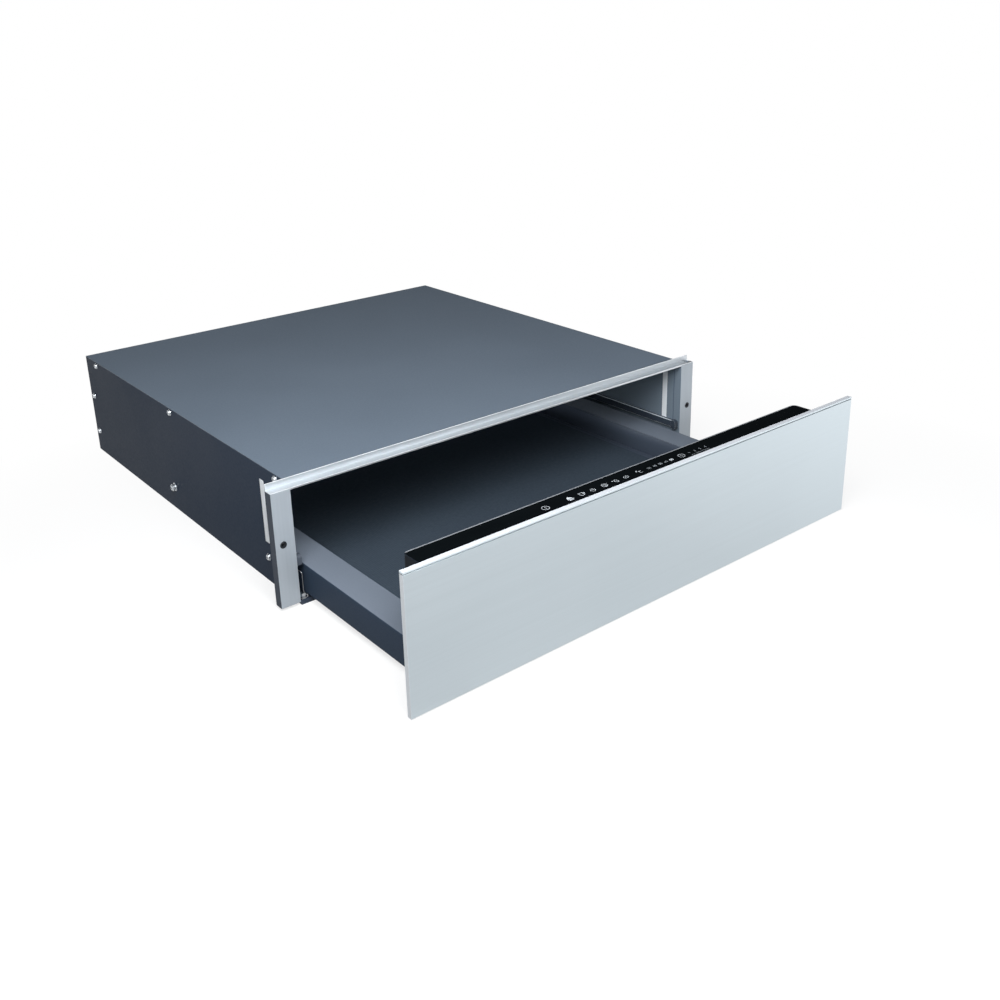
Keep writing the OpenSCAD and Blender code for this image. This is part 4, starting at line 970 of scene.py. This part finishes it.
markLook = {"stroke": 0.45, "dishStroke": 0.9, "figureStroke": 0.5, "boldStroke": 0.72, "thick": 0.05,
            "sink": 0.01, "rowY": -199.7, "figureSize": 0.95, "figureStep": 2.35, "figureDrop": -1.4}
# Where each symbol's middle lies along the row
markAt = {"power": -117.6, "dish": -88, "cup": -73, "bowl": -59, "plates": -43.6, "lowHeat": -29.5,
          "roast": -15, "letterC": 3.8, "degree": 1.4, "clock": 63.4}
heatRow = {"30": 16.7, "40": 24.7, "50": 32.6, "60": 40.5, "80": 48.5}
timeRow = {"1": 74.8, "2": 82.9, "3": 90.9, "4": 98.9}
timeLine = {"from": 72.5, "to": 99.1, "below": 5.4, "stroke": 0.4}


def arc(x, y, radius, start, end, steps=18, flat=1.0):
    angles = [math.radians(start + (end - start) * i / steps) for i in range(steps + 1)]
    return [(x + radius * math.cos(a), y + radius * flat * math.sin(a)) for a in angles]


def ribbon(bm, line, width, z0, z1):
    # A printed line of even width, as a thin flat band with square ends
    points = [Vector(p) for p in line]
    closed = (points[0] - points[-1]).length < 1e-6
    if closed:
        points.pop()
    count = len(points)
    left, right = [], []
    for i, p in enumerate(points):
        ahead = points[(i + 1) % count] if closed or i < count - 1 else p
        back = points[i - 1] if closed or i else p
        inWay = (p - back).normalized() if (p - back).length else (ahead - p).normalized()
        outWay = (ahead - p).normalized() if (ahead - p).length else inWay
        mean = (inWay + outWay).normalized()
        across = Vector((-mean.y, mean.x))
        lean = across.dot(Vector((-inWay.y, inWay.x)))
        grow = width / 2 / max(0.35, lean)  # a sharp corner isn't drawn out any further
        left.append(p + across * grow)
        right.append(p - across * grow)
    l0, l1, r0, r1 = ([bm.verts.new((*q, z)) for q in row] for row in (left, right) for z in (z0, z1))
    for i in range(0 if closed else 1, count):
        for a, b in ((l0, l1), (l1, r1), (r1, r0), (r0, l0)):
            bm.faces.new([a[i - 1], a[i], b[i], b[i - 1]])
    if not closed:
        for i in (0, -1):
            bm.faces.new([l0[i], l1[i], r1[i], r0[i]])


# Strokes of the figures, in a box 2 wide and 3 high
figures = {
    "0": [arc(1, 0.9, 0.8, 180, 360, 8) + arc(1, 2.1, 0.8, 0, 180, 8) + [(0.2, 0.9)]],
    "1": [[(0.5, 2.4), (1.1, 3.0), (1.1, 0)]],
    "2": [arc(1, 2.2, 0.8, 160, -30, 8) + [(0.2, 0.0), (1.8, 0.0)]],
    "3": [arc(0.9, 2.25, 0.75, 150, -80, 8) + arc(0.9, 0.78, 0.78, 80, -150, 8)],
    "4": [[(1.3, 0), (1.3, 3), (0.1, 1.0), (1.9, 1.0)]],
    "5": [[(1.7, 3), (0.5, 3), (0.35, 1.7)] + arc(0.95, 0.95, 0.9, 110, -150, 10)],
    "6": [arc(1, 0.9, 0.85, 0, 360, 12), arc(1.6, 0.9, 1.5, 180, 115, 5)],
    "8": [arc(1, 0.8, 0.8, 0, 360, 12), arc(1, 2.3, 0.66, 0, 360, 12)],
    "C": [arc(1.2, 1.5, 1.45, 50, 310, 14)],
}


def makeMarks(m, at):
    # Read from the front: a power sign, six dishes, the heat row and the time row
    z0 = boxOf("touch_glass")[1].z - m["sink"]
    z1 = z0 + m["thick"]
    y = m["rowY"]
    bright, dim = bmesh.new(), bmesh.new()

    def draw(x, lines, scale=1.0, target=bright, width=m["stroke"], up=0.0):
        for line in lines:
            ribbon(target, [(x + u * scale, y + up + v * scale) for u, v in line], width, z0, z1)

    def patch(x, line):
        prism(bright, [(x + u, y + v) for u, v in line], lambda u, v, s: (u, v, s), z0, z1)

    def write(x, text, target, width):
        for i, letter in enumerate(text):
            draw(x + m["figureStep"] * i, figures[letter], m["figureSize"], target, width, m["figureDrop"])

    draw(at["power"], [arc(0, 0, 3.7, 0, 360, 30), [(0, -1.7), (0, 1.9)]])
    # Covered dish on a hand
    patch(at["dish"], arc(0, -0.3, 3.1, 0, 180, 14))
    draw(at["dish"], [[(-4.0, -1.6), (4.0, -1.6)], [(-2.6, -3.0), (2.6, -3.0)]], width=m["dishStroke"])
    patch(at["dish"], arc(0, 3.3, 0.7, 0, 330, 10))
    # Cup with its handle
    cup = [(-2.6, 2.4), (-2.2, -1.8), (-1.3, -2.6), (1.3, -2.6), (2.0, -1.8), (2.3, 2.4), (-2.6, 2.4)]
    draw(at["cup"], [cup, arc(2.5, 0.6, 1.3, 80, -80, 8)])
    # Bowl with steam
    draw(at["bowl"], [arc(0, 0.2, 3.0, 180, 360, 14) + [(-3.0, 0.2)],
                      [(-1.2, 1.4), (-0.7, 2.1), (-1.2, 2.9)], [(0.9, 1.4), (1.4, 2.1), (0.9, 2.9)]])
    # Plates, one on the other
    draw(at["plates"], [arc(0, 0, 3.1, 0, 360, 22), arc(0, 0, 1.7, 0, 360, 16)])
    # Low heat: a drop beside a small star
    drop = arc(1.2, -0.6, 2.2, 150, 390, 16)
    star = [[(-3.6, 1.4), (-1.9, 1.4)], [(-2.75, 0.55), (-2.75, 2.25)]]
    draw(at["lowHeat"], [drop + [(1.2, 3.0), drop[0]], *star])
    # Oval roast, then the degree sign and its letter
    draw(at["roast"], [arc(0, 0, 2.9, 0, 360, 20, 2.1 / 2.9), [(-1.2, -0.5), (0, 0.5), (1.2, -0.2)]])
    draw(at["letterC"], [[(u - 0.4, v - 1.9) for u, v in line] for line in figures["C"]], 1.25)
    draw(at["degree"], [arc(0, 2.3, 0.75, 0, 360, 12)], width=m["figureStroke"])
    for text, x in heatRow.items():
        bold = text == "80"
        write(x - 2.1, text, bright if bold else dim, m["boldStroke"] if bold else m["figureStroke"])
    draw(at["clock"], [arc(0, 0, 3.6, 0, 360, 28), [(0, 2.0), (0, 0), (1.5, -0.9)]])
    for text, x in timeRow.items():
        write(x - 0.9, text, dim, m["figureStroke"])
    lineY = y - timeLine["below"]
    ribbon(dim, [(timeLine["from"], lineY), (timeLine["to"], lineY)], timeLine["stroke"], z0, z1)
    # The printed marks glow faintly through their ink's emission, a painted glow
    built("printedMarks", bright, "touch_glass", "ink", stands=False, slot="white_plastic")
    built("printedDimMarks", dim, "touch_glass", "dimInk", stands=False, slot="white_plastic")


makeMarks(markLook, markAt)
print("symbols made")


# Fan bay

fanBay = {
    # The air baffle takes the lightened inside paint, a painted light
    "air_baffle": ("airBaffle", "inside", 0.2),
    "chamber_plate": ("chamberPlate", "plate", 0.2),
    "heater_ring": ("heaterRing", "tube", 0.25),
    "fan_wheel": ("fanWheel", "wheel", 0.18),
    "motor_rotor": ("motorRotor", "stack", 0.3),
    "motor_stack": ("motorStack", "stack", 0.3),
    "motor_brackets": ("motorBrackets", "plate", 0.25),
    "motor_screws": ("motorScrews", "screw", 0.25),
    "thermal_cutout": ("thermalCutout", "black", 0.3),
    "temperature_probe": ("temperatureProbe", "screw", 0.3),
}
# Pressed hoods over the baffle's slots, on the drawer's side
hoodLook = {"rows": 7, "pitch": 9.0, "height": 4.0, "middle": 62.6, "past": 1, "edge": 0.12,
            "spans": [(-26, 26), (120, 210), (-210, -120)],
            "outline": [(0, 0), (-1.4, -1.0), (-1.4, -0.4), (-0.2, 0.9), (0, 0.9)]}


def makeHoods(h):
    front = boxOf("air_baffle")[0].y
    bm = bmesh.new()
    for x0, x1 in h["spans"]:
        for i in range(h["rows"]):
            z = h["middle"] + (i - (h["rows"] - 1) / 2) * h["pitch"] + h["height"] / 2
            prism(bm, h["outline"], lambda u, v, s: (s, front + u, z + v), x0 - h["past"], x1 + h["past"])
    # The lips take the lightened inside paint, a painted light
    built("baffleLips", bm, "air_baffle", "inside", h["edge"], stands=False)


# Winding on its bobbin: rounded turns of wire between two flanges
coilLook = {"turns": 26, "fromEnd": 1.5, "wireIn": 0.35, "flange": 1.4, "flangeIn": 0.1, "hole": 0.02,
            "edge": 0.2}


def makeCoil(c):
    low, high = boxOf("motor_coil")
    barLow, barHigh = boxOf("motor_stack")
    wall = barLow.z - low.z
    top = high.z - wall

    def loopAt(x, reach):
        front, back, bottom = barLow.y, barHigh.y, barLow.z
        corners = ((back, top, 0), (front, top, 90), (front, bottom, 180), (back, bottom, 270))
        return [(x, *point) for y, z, start in corners for point in arc(y, z, reach, start, start + 90, 4)]

    bm = bmesh.new()
    step = (high.x - low.x - 2 * c["fromEnd"]) / c["turns"]
    for i in range(c["turns"]):
        line = loopAt(low.x + c["fromEnd"] + (i + 0.5) * step, wall - step / 2 - c["wireIn"])
        tube(bm, line, step / 2, 8, closed=True)
    built("coilWires", bm, "motor_coil", "copper", stands=False, sharp=60)
    bm = bmesh.new()
    outer, inner = wall - c["flangeIn"], c["hole"]
    for x in (low.x, high.x - c["flange"]):
        loops = [(x, outer), (x, inner), (x + c["flange"], inner), (x + c["flange"], outer)]
        rings = [[bm.verts.new(p) for p in loopAt(*row)] for row in loops]
        for a, b in zip(rings, rings[1:] + rings[:1]):
            for i in range(len(a)):
                bm.faces.new([a[i - 1], a[i], b[i], b[i - 1]])
    built("coilFormer", bm, "motor_coil", "white", c["edge"])


# Places on the board are shares of its width and height. A capacitor also has its radius and length, and its
# foot and top are rings of (height, share of the radius)
boardLook = {
    "post": 5, "postRadius": 2.5, "sheet": 1.6, "edge": 0.15,
    "nut": [(0, 2.6), (1.0, 2.5), (1.6, 1.5), (1.7, 0)],
    "capShares": [(0.16, 0.3, 5.0, 12), (0.3, 0.26, 4.0, 10), (0.44, 0.3, 5.0, 12)],
    "capFoot": [(0, 0.94), (0.5, 1), (0.9, 0.94), (1.4, 1)], "capTop": [(-0.5, 1), (0, 0.86)],
    "coilShares": [(0.2, 0.75), (0.4, 0.75)], "coil": [(0, 6), (4, 6), (5, 5)],
    "relayShares": [(0.62, 0.18), (0.62, 0.55), (0.82, 0.18)], "relay": (15, 19), "relayEdge": 0.6,
    "plugs": 5, "plugFrom": 40, "plugStep": 7, "plugUp": 1.0, "plug": (6.4, 7, 6.5), "plugEdge": 0.5,
}


def makePowerBoard(b):
    low, high = boxOf("power_board")
    face = low.y + b["post"] + b["sheet"]
    wide, tall, depth = high.x - low.x, high.z - low.z, high.y - face

    def at(across, up):
        return Vector((low.x + wide * across, face, low.z + tall * up))

    bm = bmesh.new()
    block(bm, (low.x, low.y + b["post"], low.z), (high.x, face, high.z))
    built("powerBoard", bm, "power_board", "board", b["edge"])
    bm = bmesh.new()
    for x in (low.x + b["post"], high.x - b["post"]):
        for z in (low.z + b["post"], high.z - b["post"]):
            turned(bm, (x, low.y, z), (0, 1, 0), [(0, b["postRadius"]), (b["post"], b["postRadius"])], 6)
            turned(bm, (x, face, z), (0, 1, 0), b["nut"], 20)
    built("boardPosts", bm, "power_board", "screw", stands=False)
    bm = bmesh.new()
    for across, up, radius, length in b["capShares"]:
        reach = min(length, depth)
        rings = b["capFoot"] + [(reach + past, out) for past, out in b["capTop"]]
        turned(bm, at(across, up), (0, 1, 0), [(along, radius * out) for along, out in rings], 28)
    for share in b["coilShares"]:
        turned(bm, at(*share), (0, 1, 0), b["coil"], 24)
    built("boardCapacitors", bm, "power_board", "black", stands=False)
    bm = bmesh.new()
    for share in b["relayShares"]:
        block(bm, at(*share), at(*share) + Vector((b["relay"][0], depth, b["relay"][1])))
    built("boardRelays", bm, "power_board", "relay", b["relayEdge"], stands=False)
    bm = bmesh.new()
    for i in range(b["plugs"]):
        corner = Vector((low.x + b["plugFrom"] + b["plugStep"] * i, face, low.z + b["plugUp"]))
        block(bm, corner, corner + Vector(b["plug"]))
    built("boardConnectors", bm, "power_board", "white", b["plugEdge"], stands=False)


terminalLook = {"edge": 0.5, "head": (3.0, 2.4, 2.2, 0.8, 1.2), "placeShares": (-0.3, 0, 0.3), "lift": 0.1}


def makeTerminals(t):
    dressed("terminal_block", "terminalBlock", "white", t["edge"])
    low, high = boxOf("terminal_block")
    middle = (low + high) / 2
    head = panHead(*t["head"])
    bm = bmesh.new()
    for share in t["placeShares"]:
        shift = Vector(((high.x - low.x) * share, 0, t["lift"]))
        addPlaced(bm, head, Matrix.Translation(middle + shift))
    head.free()
    built("terminalScrews", bm, "motor_screws", "screw", stands=False, sharp=28)


# The body's rings are the distance, what the radius is counted from, and how far it is out from there
glandLook = {"rings": [(0, "bore", 0), (0, "collar", 0), (0.3, "collar", 0.3), (3.6, "collar", 0.2),
                       (4.9, "collar", -1.2), (5.7, "bore", 2.0), (6.0, "bore", 0.8), (5.7, "bore", 0.1),
                       (5.0, "bore", 0)],
             "bore": 4.5, "ribs": 12, "ribOut": 0.55, "ribIn": 0.2, "ribHalf": 0.9, "ribSpan": (0.3, 3.4),
             "sheet": 0.8, "sunk": 0.1, "nutEdge": 0.5, "neck": 8, "neckLong": 1.0, "edge": 0.2}


def makeGland(g):
    low, high = boxOf("cable_gland")
    x, z = (low.x + high.x) / 2, (low.z + high.z) / 2
    outer = (high.x - low.x) / 2
    bore = g["bore"]
    seat = boxOf("rear_panel")[1].y
    collar = outer - g["ribOut"]
    bm = bmesh.new()
    radii = {"bore": bore, "collar": collar}
    rings = [(along, radii[base] + out) for along, base, out in g["rings"]]
    turned(bm, (x, seat, z), (0, 1, 0), rings, 48, loop=True)
    start, end = g["ribSpan"]
    rib = bmesh.new()
    block(rib, (collar - g["ribIn"], start, -g["ribHalf"]), (outer, end, g["ribHalf"]))
    for i in range(g["ribs"]):
        turn = Matrix.Rotation(math.tau * i / g["ribs"], 4, "Y")
        addPlaced(bm, rib, Matrix.Translation((x, seat, z)) @ turn)
    rib.free()
    panel = seat - g["sheet"]
    deep = panel - low.y
    turned(bm, (x, low.y, z), (0, 1, 0), [(0, bore), (0, outer - g["nutEdge"]), (g["nutEdge"], outer),
                                          (deep, outer), (deep, bore)], 6, loop=True)
    neck, long = g["neck"], g["neckLong"]
    rings = [(0, bore), (0, neck), (long, neck), (long, bore)]
    turned(bm, (x, panel - g["sunk"], z), (0, 1, 0), rings, 40, loop=True)
    built("cableGland", bm, "cable_gland", "black", g["edge"])


# Fixed wiring: the bundle follows its node's route, with smooth bends and ties
loomLook = {"radius": 2.2, "bend": 5, "branchShare": 0.8, "ties": (-50, -12, 14, 60), "firstTie": 12,
            "lastTie": 14, "tieLong": 2.6, "tieThick": 0.5, "knot": (1.5, 1.6, 1.8), "tieEdge": 0.2}


def makeLoom(l):
    low, high = boxOf("housing_loom")
    r = l["radius"]
    x0, x1 = boxOf("terminal_block")[1].x, high.x - r
    y0, y1 = high.y - r, low.y + r
    z = low.z + r
    route = [Vector(p) for p in ((x0, y0, z), (x1, y0, z), (x1, y1, z), (x1, y1, high.z))]
    points = [route[0]]
    for a, b, c in zip(route, route[1:], route[2:]):
        start, end = b + (a - b).normalized() * l["bend"], b + (c - b).normalized() * l["bend"]
        for t in (k / 6 for k in range(7)):
            points.append(start * (1 - t) ** 2 + b * 2 * t * (1 - t) + end * t * t)
    bm = bmesh.new()
    tube(bm, points + [route[-1]], r, 16)
    tube(bm, [(0, y0, z), (0, y0, boxOf("motor_coil")[0].z)], r * l["branchShare"], 14)
    built("wiringSleeve", bm, "housing_loom", "braid", sharp=50)
    bm = bmesh.new()
    long, inside, outside = l["tieLong"], r * 0.96, r + l["tieThick"]
    halfX, halfY, rise = l["knot"]
    for x in (x0 + l["firstTie"], *l["ties"], x1 - l["lastTie"]):
        rings = [(0, inside), (0, outside), (long, outside), (long, inside)]
        turned(bm, (x - long / 2, y0, z), (1, 0, 0), rings, 24, loop=True)
        block(bm, (x - halfX, y0 - halfY, z + r), (x + halfX, y0 + halfY, z + r + rise))
    built("wiringTies", bm, "housing_loom", "black", l["tieEdge"], stands=False)


latchPieces = {
    "latch_case": ("latchCase", "black", 0.6),
    "latch_plunger": ("latchPlunger", "white", 0.8),
    "reed_switch": ("reedSwitch", "black", 0.5),
}
# The spring's end turns lie flat over a share of its wire
springLook = {"turns": 11, "perTurn": 16, "wire": 0.38, "radius": 1.95, "flatShare": 0.06}


def makeSpring(s):
    low, high = boxOf("latch_spring")
    x, z = (low.x + high.x) / 2, (low.z + high.z) / 2
    start, end = low.y + s["wire"], high.y - s["wire"]
    steps = s["turns"] * s["perTurn"]
    points = []
    for i in range(steps + 1):
        a = math.tau * i / s["perTurn"]
        rise = (i / steps - s["flatShare"]) / (1 - 2 * s["flatShare"])
        y = start + (end - start) * max(0.0, min(1.0, rise))
        points.append((x + s["radius"] * math.cos(a), y, z + s["radius"] * math.sin(a)))
    bm = bmesh.new()
    tube(bm, points, s["wire"], 8)
    built("latchSpring", bm, "latch_spring", "screw", sharp=60)


dressAll(fanBay)
makeHoods(hoodLook)
makeCoil(coilLook)
makePowerBoard(boardLook)
makeTerminals(terminalLook)
makeGland(glandLook)
makeLoom(loomLook)
dressAll(latchPieces)
makeSpring(springLook)
print("fan bay, wiring and latch made")
